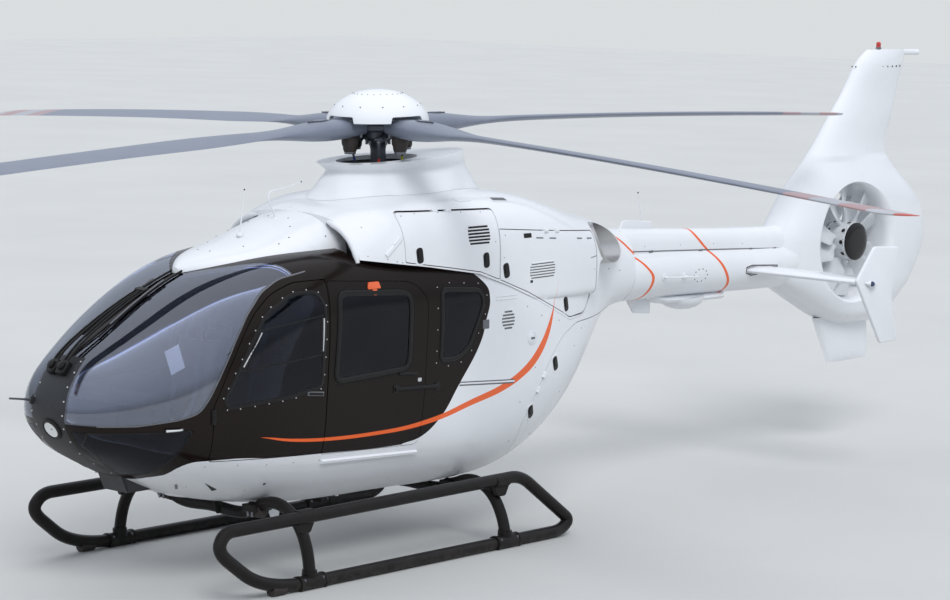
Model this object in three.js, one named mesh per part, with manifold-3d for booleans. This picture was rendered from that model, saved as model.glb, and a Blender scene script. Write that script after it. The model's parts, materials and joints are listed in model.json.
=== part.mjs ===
// Light twin-engined helicopter with a ducted tail fan, standing on its skids.
// Millimetres. x runs aft from the nose, y to starboard and z up from the ground.
import * as THREE from 'three';
import { mergeVertices } from 'three/addons/utils/BufferGeometryUtils.js';
import Module from 'manifold-3d';

const wasm = await Module();
wasm.setup();

// Driving dimensions
const BOX_CENTRE_X = 4197;
const BOX_CENTRE_Y = 12;
const GAP = 0.3;
const MOVING_GAP = 6;
const WALL = 34;
const COWL_WALL = 22;
const GLASS = 9;
const CABIN_HALF = 780;
const DECK_Z = 2045;
const FLOOR_Z = 640;
const ROTOR_X = 3190;
const ROTOR_RADIUS = 5100;
const HUB_Z = 3005;
const MAST_TILT = THREE.MathUtils.degToRad(1.95);
// The blades are soft in plane, so at rest they stand a degree or two off square
const BLADE_AZIMUTHS = [-5.6, 83.6, 174.2, 261.3];
const BLADE_CHORD = 290;
const BLADE_DROOP = 200;
const FAN_X = 8990;
const FAN_Z = 1835;
const DUCT_RADIUS = 500;
const FAN_RADIUS = 480;
const FAN_BLADES = 10;
const SKID_TUBE = 45;
const SKID_HALF_TRACK = 972;
const CROSS_X = [1597, 3577];
const BOOM_START = 5900;
const BOOM_END = 8000;

const finish = {
  white: new THREE.MeshStandardMaterial({ color: 0xdfe3e8, roughness: 0.3, metalness: 0.1 }),
  dark: new THREE.MeshStandardMaterial({ color: 0x1c1512, roughness: 0.2, metalness: 0.1 }),
  glass: new THREE.MeshStandardMaterial({ color: 0x3a4150, roughness: 0.05, metalness: 0 }),
  blade: new THREE.MeshStandardMaterial({ color: 0x6b7585, roughness: 0.5, metalness: 0.1 }),
  tube: new THREE.MeshStandardMaterial({ color: 0x14100f, roughness: 0.4, metalness: 0.3 }),
  steel: new THREE.MeshStandardMaterial({ color: 0x9a9a98, roughness: 0.35, metalness: 0.9 }),
  alloy: new THREE.MeshStandardMaterial({ color: 0xb5b8ba, roughness: 0.5, metalness: 0.8 }),
  cabin: new THREE.MeshStandardMaterial({ color: 0x2c2b2c, roughness: 0.8, metalness: 0 }),
  leather: new THREE.MeshStandardMaterial({ color: 0x6d5f52, roughness: 0.6, metalness: 0 }),
  red: new THREE.MeshStandardMaterial({ color: 0xb0201c, roughness: 0.3, metalness: 0 }),
};

// Solids from three.js geometry
function toSolid(geometry) {
  const g = geometry.clone();
  g.deleteAttribute('normal');
  g.deleteAttribute('uv');
  const m = mergeVertices(g, 1e-3);
  const p = m.attributes.position.array;
  const index = Array.from(m.index.array);
  const kept = [];
  let volume = 0;
  for (let i = 0; i < index.length; i += 3) {
    const [a, b, c] = index.slice(i, i + 3);
    if (a === b || b === c || a === c) continue;
    kept.push(a, b, c);
    const va = new THREE.Vector3().fromArray(p, a * 3);
    const vb = new THREE.Vector3().fromArray(p, b * 3);
    const vc = new THREE.Vector3().fromArray(p, c * 3);
    volume += va.dot(vb.cross(vc));
  }
  if (volume < 0) kept.reverse();
  return new wasm.Manifold(new wasm.Mesh({
    numProp: 3,
    vertProperties: new Float32Array(p),
    triVerts: new Uint32Array(kept),
  }));
}

const largest = (solid) => solid.decompose().sort((a, b) => b.volume() - a.volume())[0];

// Cuts leave slivers, so a piece is the largest body of what is left
function toMesh(name, solid, material) {
  const mesh = largest(solid).getMesh();
  const g = new THREE.BufferGeometry();
  g.setAttribute('position', new THREE.BufferAttribute(new Float32Array(mesh.vertProperties), 3));
  g.setIndex(new THREE.BufferAttribute(new Uint32Array(mesh.triVerts), 1));
  g.computeVertexNormals();
  const node = new THREE.Mesh(g, material);
  node.name = name;
  return node;
}

// A closed skin over rings of equal count, each end closed by a fan
function loft(rings) {
  const count = rings[0].length;
  const points = rings.flat();
  const index = [];
  for (let r = 0; r + 1 < rings.length; r++) {
    for (let k = 0; k < count; k++) {
      const a = r * count + k;
      const b = r * count + ((k + 1) % count);
      index.push(a, b, b + count, a, b + count, a + count);
    }
  }
  for (const [start, turned] of [[0, true], [(rings.length - 1) * count, false]]) {
    const centre = new THREE.Vector3();
    for (let k = 0; k < count; k++) centre.addScaledVector(points[start + k], 1 / count);
    const c = points.push(centre) - 1;
    for (let k = 0; k < count; k++) {
      const a = start + k;
      const b = start + ((k + 1) % count);
      index.push(...(turned ? [b, a, c] : [a, b, c]));
    }
  }
  const g = new THREE.BufferGeometry().setFromPoints(points);
  g.setIndex(index);
  return toSolid(g);
}

// Rows between the table's own rows, on a smooth curve that doesn't overshoot
function smooth(rows, steps) {
  const along = [0];
  for (let i = 1; i < rows.length; i++) {
    const d = Math.hypot(...rows[i].slice(0, 4).map((v, c) => v - rows[i - 1][c]));
    along.push(along[i - 1] + d);
  }
  const slope = rows.map((row, i) => row.map((v, c) => {
    if (i === 0 || i === rows.length - 1) {
      const j = i === 0 ? 1 : i;
      return (rows[j][c] - rows[j - 1][c]) / (along[j] - along[j - 1]);
    }
    const before = (v - rows[i - 1][c]) / (along[i] - along[i - 1]);
    const after = (rows[i + 1][c] - v) / (along[i + 1] - along[i]);
    return before * after <= 0 ? 0 : (2 * before * after) / (before + after);
  }));
  const out = [];
  for (let i = 0; i + 1 < rows.length; i++) {
    const h = along[i + 1] - along[i];
    for (let s = 0; s < steps; s++) {
      const t = s / steps;
      out.push(rows[i].map((v, c) => {
        const w = rows[i + 1][c];
        const a = (2 * t ** 3 - 3 * t ** 2 + 1) * v + (t ** 3 - 2 * t ** 2 + t) * h * slope[i][c];
        return a + (3 * t ** 2 - 2 * t ** 3) * w + (t ** 3 - t ** 2) * h * slope[i + 1][c];
      }));
    }
  }
  out.push(rows[rows.length - 1]);
  return out;
}

const power = (v, n) => Math.sign(v) * Math.abs(v) ** (2 / n);

// Ring across the body: x, lowest z, highest z, half width, z of the widest line, exponents above and below
function bodyRing([x, low, high, half, mid, above, below], count) {
  return Array.from({ length: count }, (_, k) => {
    const a = (2 * Math.PI * k) / count;
    const n = Math.sin(a) >= 0 ? above : below;
    const reach = Math.sin(a) >= 0 ? high - mid : mid - low;
    return new THREE.Vector3(x, half * power(Math.cos(a), n), mid + reach * power(Math.sin(a), n));
  });
}

// Rings are close together over the first rows, where the body curves most
function bodyLoft(rows, count, closeRows, inset = 0) {
  const kept = smooth(rows, 2).filter((_, i) => i < 2 * closeRows || i % 2 === 0);
  const inner = kept.map(([x, low, high, half, mid, above, below]) => {
    const forward = inset * Math.max(0, 1 - (x - rows[0][0]) / 700);
    const small = Math.max(half - inset, 0.02 * half);
    const up = Math.max(high - inset, mid + 0.02 * (high - mid));
    const down = Math.min(low + inset, mid - 0.02 * (mid - low));
    return [x + forward, down, up, small, mid, above, below];
  });
  return loft(inner.map((row) => bodyRing(row, count)));
}

// Outline of points [u, v, corner radius]
function outline(points) {
  const shape = new THREE.Shape();
  const count = points.length;
  points.forEach(([u, v, r = 0], i) => {
    const here = new THREE.Vector2(u, v);
    const last = new THREE.Vector2(...points[(i + count - 1) % count].slice(0, 2));
    const next = new THREE.Vector2(...points[(i + 1) % count].slice(0, 2));
    const from = here.clone().lerp(last, Math.min(0.45, r / here.distanceTo(last)));
    const to = here.clone().lerp(next, Math.min(0.45, r / here.distanceTo(next)));
    if (i === 0) shape.moveTo(from.x, from.y);
    else shape.lineTo(from.x, from.y);
    if (r > 0) shape.quadraticCurveTo(u, v, to.x, to.y);
  });
  shape.closePath();
  return shape;
}

// Moves an outline's sides outwards (or inwards) by a distance
function grow(points, by) {
  const area = points.reduce((sum, [u, v], i) => {
    const [p, q] = points[(i + 1) % points.length];
    return sum + u * q - p * v;
  }, 0);
  const turn = Math.sign(area);
  return points.map(([u, v, r = 0], i) => {
    const last = points[(i + points.length - 1) % points.length];
    const next = points[(i + 1) % points.length];
    const a = new THREE.Vector2(u - last[0], v - last[1]).normalize();
    const b = new THREE.Vector2(next[0] - u, next[1] - v).normalize();
    const na = new THREE.Vector2(a.y, -a.x).multiplyScalar(turn);
    const nb = new THREE.Vector2(b.y, -b.x).multiplyScalar(turn);
    const mitre = na.clone().add(nb);
    mitre.multiplyScalar(by / Math.max(0.2, mitre.dot(na)));
    return [u + mitre.x, v + mitre.y, r];
  });
}

const CURVE_STEPS = 2;
const extruded = (points, depth) => new THREE.ExtrudeGeometry(
  outline(points), { depth, bevelEnabled: false, curveSegments: CURVE_STEPS });

// Prism of an x-z outline between two y values
function sidePrism(points, y0, y1) {
  const g = extruded(points, y1 - y0);
  g.rotateX(Math.PI / 2);
  g.translate(0, y1, 0);
  return toSolid(g);
}

// Prism of an x-y outline between two z values
function planPrism(points, z0, z1) {
  const g = extruded(points, z1 - z0);
  g.translate(0, 0, z0);
  return toSolid(g);
}

function box(x0, x1, y0, y1, z0, z1) {
  const g = new THREE.BoxGeometry(x1 - x0, y1 - y0, z1 - z0);
  g.translate((x0 + x1) / 2, (y0 + y1) / 2, (z0 + z1) / 2);
  return toSolid(g);
}

function lathe(profile, segments) {
  return new THREE.LatheGeometry(profile.map(([r, h]) => new THREE.Vector2(r, h)), segments);
}

function cylinderBetween(from, to, radius, segments) {
  const g = new THREE.CylinderGeometry(radius, radius, from.distanceTo(to), segments);
  const up = new THREE.Vector3(0, 1, 0);
  const turn = new THREE.Quaternion().setFromUnitVectors(up, to.clone().sub(from).normalize());
  g.applyQuaternion(turn);
  const middle = from.clone().lerp(to, 0.5);
  g.translate(middle.x, middle.y, middle.z);
  return toSolid(g);
}

const mirrored = (solid) => solid.mirror([0, 1, 0]);
const both = (solid) => ({ left: solid, right: mirrored(solid) });

const root = new THREE.Group();
const put = (name, solid, material) => root.add(toMesh(name, solid, material));
const putPair = (name, solid, material) => {
  const pair = both(solid);
  put(`${name}_left`, pair.left, material);
  put(`${name}_right`, pair.right, material);
};

// Cabin and tail cone: x, belly z, roof z, half width, z of the widest line, exponents above and below
const podRows = [
  [118, 1222, 1224, 1, 1223, 2, 2],
  [150, 1140, 1352, 212, 1222, 2, 2],
  [255, 985, 1525, 388, 1220, 2.1, 2.1],
  [460, 858, 1676, 535, 1215, 2.3, 2.2],
  [760, 712, 1848, 672, 1210, 2.6, 2.4],
  [1150, 568, 2038, 745, 1210, 3.2, 2.6],
  [1600, 478, 2165, CABIN_HALF, 1215, 4.2, 2.8],
  [2100, 428, 2215, CABIN_HALF, 1220, 5, 3],
  [2900, 410, 2220, CABIN_HALF, 1220, 5, 3],
  [3700, 402, 2220, 775, 1230, 5, 3],
  [4200, 448, 2215, 738, 1300, 4.4, 2.5],
  [4650, 610, 2205, 655, 1420, 3.8, 2.2],
  [5000, 860, 2190, 535, 1560, 3.2, 2.1],
  [5300, 1160, 2175, 400, 1680, 2.8, 2],
  [5600, 1420, 2145, 290, 1780, 2.3, 2],
  [BOOM_START, 1515, 2110, 250, 1790, 2, 2.1],
];
const POD_RING = 20;
const NOSE_ROWS = 4;
const podOuter = bodyLoft(podRows, POD_RING, NOSE_ROWS);
const podInner = bodyLoft(podRows, POD_RING, NOSE_ROWS, WALL);
const podGlass = bodyLoft(podRows, POD_RING, NOSE_ROWS, GLASS);

// Engine cowling: same columns as the cabin
const cowlRows = [
  [2330, 1700, 2438, 700, 1900, 3, 9],
  [2700, 1700, 2525, 748, 1900, 3.9, 9],
  [3200, 1700, 2545, 762, 1900, 4.2, 9],
  [3700, 1700, 2545, 762, 1900, 4.2, 9],
  [4200, 1700, 2510, 742, 1880, 3.8, 9],
  [4700, 1700, 2396, 668, 1860, 3.3, 9],
  [5150, 1700, 2288, 555, 1850, 2.9, 9],
  [5480, 1750, 2205, 455, 1840, 2.6, 9],
];
const COWL_RING = 20;
const cowlOuter = bodyLoft(cowlRows, COWL_RING, 1);
const cowlInner = bodyLoft(cowlRows, COWL_RING, 1, COWL_WALL)
  .intersect(box(2375, 5440, -900, 900, 1500, 2600));

const bodyOuter = podOuter.add(cowlOuter);
const skin = bodyOuter.subtract(podInner.add(cowlInner));
const podRoom = bodyLoft(podRows, POD_RING, NOSE_ROWS, WALL + GAP);
const cowlRoom = bodyLoft(cowlRows, COWL_RING, 1, COWL_WALL + GAP);
const podClear = bodyLoft(podRows, POD_RING, NOSE_ROWS, -GAP);
const cowlClear = bodyLoft(cowlRows, COWL_RING, 1, -GAP);
const glassSkin = podOuter.subtract(podGlass);

// Outlines seen from the side: x, z, corner radius
const windshieldSide = [
  [-200, 1175], [450, 1172], [690, 1200], [838, 1234, 60], [915, 1330], [1030, 1511], [1150, 1694, 60],
  [1275, 1852, 60], [1430, 1985, 60], [1600, 2062, 60], [1840, 2100], [1900, 2400], [-200, 2400],
];
const chinSide = [
  [60, 1125], [812, 1130, 40], [735, 1030, 60], [650, 915, 60],
  [545, 838, 50], [420, 832, 50], [265, 905, 60], [120, 1040],
];
const frontDoorSide = [
  [952, 900, 40], [942, 1262, 40], [1068, 1496, 80], [1192, 1692, 80], [1322, 1852, 80],
  [1490, 1972, 80], [1690, 2034, 40], [1962, 2040, 20], [1903, 862, 20],
];
const frontWindowSide = [
  [1040, 1305, 20], [1066, 1262, 20], [1590, 1290], [1868, 1334, 40], [1912, 1868, 50],
  [1850, 1960, 50], [1650, 1955, 60], [1420, 1842, 60], [1300, 1700, 60], [1150, 1482, 60],
];
const slidingDoorSide = [
  [1909, 850, 15], [2868, 812, 60], [2905, 1300, 40], [2935, 1850, 60], [2800, 1972, 100], [1974, 2030, 30],
];
const slidingWindowSide = [
  [2004, 1336, 70], [2742, 1364, 90], [2768, 1870, 70], [2700, 1908, 60], [2060, 1945, 60],
];
const rearWindowSide = [
  [3060, 1392, 30], [3240, 1390, 60], [3355, 1460, 60], [3528, 1775, 60], [3480, 1868, 50], [3080, 1900, 50],
];
const cowlSide = [
  [2325, 2145], [2950, 2061], [3472, 1978], [3790, 1872], [4116, 1748], [4494, 1590], [4605, 1545, 40],
  [4875, 1559, 60], [5006, 1710, 60], [5060, 1960], [5600, 1960], [5600, 2700], [2325, 2700],
];
const gearboxDoorSide = [
  [2722, 2112, 20], [3160, 2048], [3490, 1996], [3692, 1928, 20], [3690, 2425, 30], [2722, 2448, 60],
];
const engineDoorSide = [
  [3704, 1924, 15], [4020, 1812], [4505, 1614, 30], [4600, 1572, 30], [4862, 1584, 60],
  [4985, 1722, 60], [5010, 2182, 20], [3704, 2285, 20],
];
// Its opening leaves more room at the rear, where the door swings aft as it lifts
const engineDoorRoom = [
  [3704, 1924, 15], [4020, 1812], [4505, 1614, 30], [4600, 1571, 30], [4868, 1574, 60],
  [4996, 1708, 60], [5018, 2182, 20], [3704, 2285, 20],
];
const clamshellSide = [
  [4035, 300], [4035, 830, 60], [4120, 965, 60], [4320, 1280, 80], [4500, 1440, 60], [4720, 1520, 60],
  [6000, 1520], [6000, 300],
];
const pipeFrom = new THREE.Vector3(4880, -180, 2040);
const pipeTo = new THREE.Vector3(5340, -610, 2095);
const PIPE = 162;
const pipeStep = pipeTo.clone().sub(pipeFrom).normalize().multiplyScalar(12);
const pipeCut = cylinderBetween(pipeFrom.clone().sub(pipeStep), pipeTo, PIPE + 0.5, 20);
// Hinges: at each end point a moving knuckle turns against a fixed one. Port side, on the hinge's axis
const hingeEnds = {
  front_door: [[940, -717, 1182], [940, -717, 1232]],
  clamshell_door: [[4184, -729, 1066], [4250, -729, 1170]],
  gearbox_cowl_door: [[3110, -640, 2438.8], [3240, -649.8, 2435.7]],
  engine_cowl_door: [[4250, -708, 2241.9], [4400, -682.6, 2230]],
};
const KNUCKLE = 20;
const KNUCKLE_SIDES = 8;
const KNUCKLE_ROOM = (KNUCKLE + 0.5) / Math.cos(Math.PI / KNUCKLE_SIDES);
const knuckleSpans = [[-25, 0, 'moving'], [0.5, 26, 'fixed']];
function knuckles(name) {
  const ends = hingeEnds[name].map((p) => new THREE.Vector3(...p));
  const step = ends[1].clone().sub(ends[0]).normalize();
  const part = { moving: [], fixed: [], movingRoom: [], fixedRoom: [] };
  for (const end of ends) {
    for (const [t0, t1, kind] of knuckleSpans) {
      const at = (t) => end.clone().addScaledVector(step, t);
      part[kind].push(cylinderBetween(at(t0), at(t1), KNUCKLE, KNUCKLE_SIDES));
      part[`${kind}Room`].push(cylinderBetween(at(t0 - 0.25), at(t1 + 0.25), KNUCKLE_ROOM, KNUCKLE_SIDES));
    }
  }
  return part;
}
const onDoor = (door, name) => {
  const { moving, fixedRoom } = knuckles(name);
  return fixedRoom.reduce((sum, room) => sum.subtract(room), moving.reduce((sum, part) => sum.add(part), door));
};
const onFrame = (frame, name) => {
  const { fixed, movingRoom } = knuckles(name);
  let held = frame;
  for (const part of fixed) held = held.add(part).add(mirrored(part));
  for (const room of movingRoom) held = held.subtract(room).subtract(mirrored(room));
  return held;
};

const FAR = 1200;
const POST_HALF = 30;

// Glass: the windshield ends at a line across the roof, ahead of the white fairing
const windshieldPlan = [
  [-200, -POST_HALF], [1225, -POST_HALF], [1420, -260, 100], [1700, -480, 100], [1860, -FAR], [-200, -FAR],
];
const windshieldCut = sidePrism(windshieldSide, -FAR, 0).intersect(planPrism(windshieldPlan, 900, 2500));
const windshieldFit = sidePrism(grow(windshieldSide, -GAP), -FAR, 0)
  .intersect(planPrism(grow(windshieldPlan, -GAP), 900, 2500));
const CHIN_START = 135;
const windowCut = (side, start) => sidePrism(side, -FAR, -start);

const shellCuts = [
  windshieldCut,
  windowCut(chinSide, CHIN_START),
  windowCut(grow(frontDoorSide, MOVING_GAP), 300),
  windowCut(slidingDoorSide, 300),
  windowCut(rearWindowSide, 300),
  windowCut(clamshellSide, 0),
  pipeCut,
];
let shell = skin.subtract(sidePrism(cowlSide, -FAR, FAR));
for (const cut of shellCuts) shell = shell.subtract(cut).subtract(mirrored(cut));
put('cabin_shell', onFrame(onFrame(shell, 'front_door'), 'clamshell_door'), finish.white);

putPair('windshield', glassSkin.intersect(windshieldFit), finish.glass);
putPair('chin_window', glassSkin.intersect(windowCut(grow(chinSide, -GAP), CHIN_START + GAP)), finish.glass);
putPair('rear_window', glassSkin.intersect(windowCut(grow(rearWindowSide, -GAP), 300)), finish.glass);

const podSkin = podOuter.subtract(podInner);
for (const [name, side, window, material] of [
  ['front', frontDoorSide, frontWindowSide, finish.dark],
  ['sliding', grow(slidingDoorSide, -GAP), slidingWindowSide, finish.dark],
]) {
  const door = podSkin.intersect(windowCut(side, 300)).subtract(windowCut(window, 300));
  putPair(`${name}_door`, name === 'front' ? onDoor(door, 'front_door') : door, material);
  putPair(`${name}_window`, glassSkin.intersect(windowCut(grow(window, -GAP), 300)), finish.glass);
}

const clamshell = podSkin.intersect(windowCut(grow(clamshellSide, -MOVING_GAP), MOVING_GAP / 2))
  .intersect(box(3900, BOOM_START - 200, -900, 900, 300, 1600));
putPair('clamshell_door', onDoor(clamshell, 'clamshell_door'), finish.white);

// Engine cowling: fixed top and rear, with two hinged doors on each side
const cowlSkin = skin.intersect(sidePrism(grow(cowlSide, -GAP), -FAR, FAR));
// Seen from ahead: y, z, corner radius
const intakeFront = [
  [-672, 2165, 50], [-508, 2158, 40], [-508, 2330, 70], [-585, 2392, 60], [-666, 2345, 60],
];
function forePrism(points, x0, x1) {
  const g = extruded(points, x1 - x0);
  g.rotateY(Math.PI / 2);
  g.rotateX(Math.PI / 2);
  g.translate(x0, 0, 0);
  return toSolid(g);
}
const intakeCut = forePrism(intakeFront, 2250, 2400);
const MAST_HOLE = 190;
const mastLine = (z0, z1, radius, segments) => cylinderBetween(
  new THREE.Vector3(ROTOR_X, 0, z0), new THREE.Vector3(ROTOR_X, 0, z1), radius, segments);
let cowl = cowlSkin.subtract(mastLine(2300, 2700, MAST_HOLE, 24));
for (const cut of [
  windowCut(grow(gearboxDoorSide, MOVING_GAP), 300),
  windowCut(grow(engineDoorRoom, MOVING_GAP), 300),
  intakeCut,
  pipeCut,
]) cowl = cowl.subtract(cut).subtract(mirrored(cut));
put('upper_cowl', onFrame(onFrame(cowl, 'gearbox_cowl_door'), 'engine_cowl_door'), finish.white);
for (const [name, side] of [['gearbox_cowl_door', gearboxDoorSide], ['engine_cowl_door', engineDoorSide]]) {
  putPair(name, onDoor(skin.intersect(windowCut(side, 300)), name), finish.white);
}
const cowlFlush = bodyLoft(cowlRows, COWL_RING, 1, -14);
const bore = cylinderBetween(pipeFrom.clone().add(pipeStep), pipeTo.clone().add(pipeStep), PIPE - 8, 20);
const pipe = cylinderBetween(pipeFrom, pipeTo, PIPE, 20).subtract(bore);
putPair('exhaust', pipe.intersect(cowlFlush), finish.steel);

// Roof fairing ahead of the mast: same columns as the cabin
const fairingRows = [
  [1240, 2050, 2112, 30, 2080, 2, 2],
  [1330, 2050, 2158, 130, 2090, 2.2, 2],
  [1500, 2060, 2212, 265, 2110, 2.2, 2],
  [1850, 2080, 2290, 405, 2120, 2.3, 2],
  [2200, 2080, 2404, 480, 2130, 2.4, 2],
  [2600, 2080, 2492, 515, 2140, 2.5, 2],
];
const fairingOuter = bodyLoft(fairingRows, 20, 5);
const roofFairing = fairingOuter.subtract(podClear).subtract(cowlClear)
  .intersect(box(1200, 2329, -700, 700, 2000, 2600));
put('roof_fairing', roofFairing, finish.white);

// Mast fairing: z, front x, rear x, half width
const mastRows = [
  [2380, 2460, 4350, 540],
  [2470, 2535, 4285, 440],
  [2560, 2630, 4218, 340],
  [2650, 2700, 4150, 280],
  [2705, 2730, 4112, 268],
  [2735, 2692, 4095, 298],
  [2900, 2692, 4040, 298],
];
const TEARDROP = 0.3;
function mastRing([z, front, rear, half]) {
  return Array.from({ length: 22 }, (_, k) => {
    const a = (2 * Math.PI * k) / 22;
    const x = (front + rear) / 2 - ((rear - front) / 2) * Math.cos(a);
    return new THREE.Vector3(x, -half * Math.sin(a) * (1 + TEARDROP * Math.cos(a)), z);
  });
}
const mastTop = [[2400, 2380], [2400, 2728], [2700, 2750], [4300, 2832], [4600, 2832], [4600, 2380]];
// Well round the mast: z, spread
const wellRows = [[2300, 2], [2560, 2], [2700, 2.3], [2900, 2.7]];
const wellRing = ([z, spread]) => Array.from({ length: 16 }, (_, k) => {
  const a = (2 * Math.PI * k) / 16;
  return new THREE.Vector3(ROTOR_X - 10 + spread * 145 * Math.cos(a), spread * 92 * Math.sin(a), z);
});
const mastWell = loft(wellRows.map(wellRing));
const mastFairing = loft(smooth(mastRows, 2).map(mastRing))
  .intersect(sidePrism(mastTop, -FAR, FAR)).subtract(mastWell).subtract(cowlClear);
put('mast_fairing', mastFairing, finish.white);

// Tail cone and its drive cover
const boomRows = [
  [BOOM_START + GAP, 1515, 1960, 250, 1745, 2, 2],
  [6300, 1512, 1955, 232, 1735, 2, 2],
  [7300, 1494, 1915, 214, 1705, 2, 2],
  [BOOM_END - GAP, 1482, 1890, 205, 1686, 2, 2],
];
const coverRows = [
  [BOOM_START + GAP, 1800, 2108, 158, 1925, 2.6, 2],
  [6300, 1800, 2088, 150, 1915, 2.6, 2],
  [7300, 1780, 2035, 142, 1868, 2.6, 2],
  [BOOM_END - GAP, 1760, 2010, 138, 1835, 2.6, 2],
];
const BOOM_WALL = 16;
const boomInner = bodyLoft(boomRows, 20, 0, BOOM_WALL)
  .add(box(BOOM_START - 10, BOOM_START + 60, -150, 150, 1600, 1850))
  .add(box(BOOM_END - 60, BOOM_END + 10, -130, 130, 1580, 1800));
const stabilizerSlot = [
  [7432, 1672, 8], [7500, 1652, 10], [7850, 1672, 6], [7850, 1690, 6], [7500, 1712, 10], [7432, 1700, 8],
];
const boom = bodyLoft(boomRows, 20, 0).add(bodyLoft(coverRows, 20, 0)).subtract(boomInner)
  .subtract(sidePrism(grow(stabilizerSlot, GAP), -400, 400));
put('tail_boom', boom, finish.white);

// Fin and duct ring: z, leading x, trailing x, half thickness, fullness of the section
const finRows = [
  [1085, 8960, 9560, 70, 2.2],
  [1135, 8820, 9680, 150, 2.3],
  [1250, 8560, 9850, 215, 2.5],
  [1400, 8250, 10040, 245, 2.6],
  [1560, 7985, 10170, 255, 2.7],
  [1750, 7950, 10270, 258, 2.8],
  [1930, 8000, 10275, 258, 2.8],
  [2060, 8095, 10235, 254, 2.7],
  [2250, 8240, 10070, 240, 2.5],
  [2450, 8430, 9820, 185, 2.3],
  [2600, 8575, 9705, 140, 2.1],
  [2900, 8835, 9790, 105, 2],
  [3200, 9095, 9880, 86, 2],
  [3440, 9310, 9965, 68, 2],
  [3492, 9390, 9970, 48, 2],
];
const FIN_RING = 20;
function finRing([z, front, rear, half, fullness], inset = 0, count = FIN_RING) {
  const middle = (front + rear) / 2;
  const reach = (rear - front) / 2 - inset;
  return Array.from({ length: count }, (_, k) => {
    const a = (2 * Math.PI * k) / count;
    const along = power(Math.cos(a), fullness);
    const taper = 1 - 0.28 * along * (fullness < 2.15 ? 1 : 0.35);
    const y = (half - inset) * power(Math.sin(a), fullness) * taper;
    return new THREE.Vector3(middle + reach * along, y, z);
  });
}
const finWhole = loft(smooth(finRows, 1).map((row) => finRing(row)));
const FIN_WALL = 22;
const finHollow = loft(finRows.slice(1, -1).map((row) => finRing(row, FIN_WALL, 12)));
const across = (y0, y1, radius, segments) => cylinderBetween(
  new THREE.Vector3(FAN_X, y0, FAN_Z), new THREE.Vector3(FAN_X, y1, FAN_Z), radius, segments);
// Duct: how far past its wall, distance along the fan's axis
const ductProfile = [
  [210, -400], [120, -262], [40, -232], [8, -195], [0, -150], [0, 150], [8, 200], [60, 262], [150, 400],
];
const ductPoints = ductProfile.map(([past, y]) => [DUCT_RADIUS + past, y]);
const duct = toSolid(lathe([[0, -400], ...ductPoints, [0, 400]], 32).translate(FAN_X, 0, FAN_Z));
const finInner = finHollow.subtract(across(-400, 400, DUCT_RADIUS + 75, 16))
  .add(box(7900, 8080, -130, 130, 1600, 1790));
const lowerFin = loft([
  [752, 8915, 9545, 26], [830, 8880, 9540, 40], [1000, 8780, 9530, 52], [1160, 8690, 9520, 60],
].map(([z, front, rear, half]) => finRing([z, front, rear, half, 2])));
const tipBar = cylinderBetween(new THREE.Vector3(9560, 0, 3470), new THREE.Vector3(10180, 0, 3462), 26, 12);
const finFront = box(7000, BOOM_END, -400, 400, 700, 2600);
const fin = finWhole.add(lowerFin).add(tipBar).subtract(finInner).subtract(duct).subtract(finFront);
put('fin_shroud', fin, finish.white);

// Stator behind the fan: gearbox housing and its vanes, which end at the duct wall
const STATOR_VANES = 11;
let stator = across(20, 215, 165, 24).add(across(215, 245, 120, 24));
for (let k = 0; k < STATOR_VANES; k++) {
  const g = new THREE.BoxGeometry(k === 6 ? 90 : 16, k === 6 ? 90 : 95, DUCT_RADIUS - 140);
  g.rotateZ(k === 6 ? 0 : 0.35);
  g.translate(0, 130, 140 + (DUCT_RADIUS - 140) / 2 - 2);
  g.rotateY((2 * Math.PI * k) / STATOR_VANES + 0.2);
  g.translate(FAN_X, 0, FAN_Z);
  stator = stator.add(toSolid(g));
}
const SHAFT = 40;
const bearingBore = across(0, 132, SHAFT + 0.8, 24);
put('tail_stator', stator.intersect(across(-50, 400, DUCT_RADIUS - 0.4, 32)).subtract(bearingBore), finish.white);

// Tail fan: drum, cap and unevenly spaced twisted blades
// Blade: radius, half chord, half thickness, pitch
const fanBladeRows = [[150, 26, 26, 0.2], [200, 40, 20, 0.45], [240, 95, 13, 0.6], [FAN_RADIUS, 84, 7, 0.25]];
const FAN_PLANE = -105;
const fanBladeRing = ([r, half, thick, pitch]) => Array.from({ length: 6 }, (_, j) => {
  const a = (2 * Math.PI * j) / 6;
  const u = half * Math.cos(a);
  const v = thick * Math.sin(a);
  const x = u * Math.cos(pitch) - v * Math.sin(pitch);
  return new THREE.Vector3(x, FAN_PLANE + u * Math.sin(pitch) + v * Math.cos(pitch), r);
});
let fan = across(-215, 10, 168, 24).add(across(-246, -210, 150, 24)).add(across(0, 130, SHAFT, 24));
for (let k = 0; k < FAN_BLADES; k++) {
  const blade = loft(fanBladeRows.map(fanBladeRing));
  const angle = 36 * k + (k % 2 ? 4.5 : -4.5);
  fan = fan.add(blade.rotate([0, angle, 0]).translate([FAN_X, 0, FAN_Z]));
}
put('tail_fan', fan, finish.white);

// Tailplane through the boom, with end plates
const PLATE_Y = 1285;
const PLATE = 30;
put('stabilizer', sidePrism(stabilizerSlot, -PLATE_Y + GAP, PLATE_Y - GAP), finish.white);
const plateSide = [
  [7430, 1690, 20], [7671, 1962, 30], [8022, 1940, 20], [7940, 1541, 10], [8036, 1164, 20], [7800, 1156, 20],
];
putPair('end_plate', sidePrism(plateSide, -PLATE_Y - PLATE, -PLATE_Y), finish.white);
const lampFoot = new THREE.Vector3(9560, 0, 3496.4);
const lampTop = new THREE.Vector3(9560, 0, 3560);
put('beacon', cylinderBetween(lampFoot, lampTop, 26, 16), finish.red);

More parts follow.
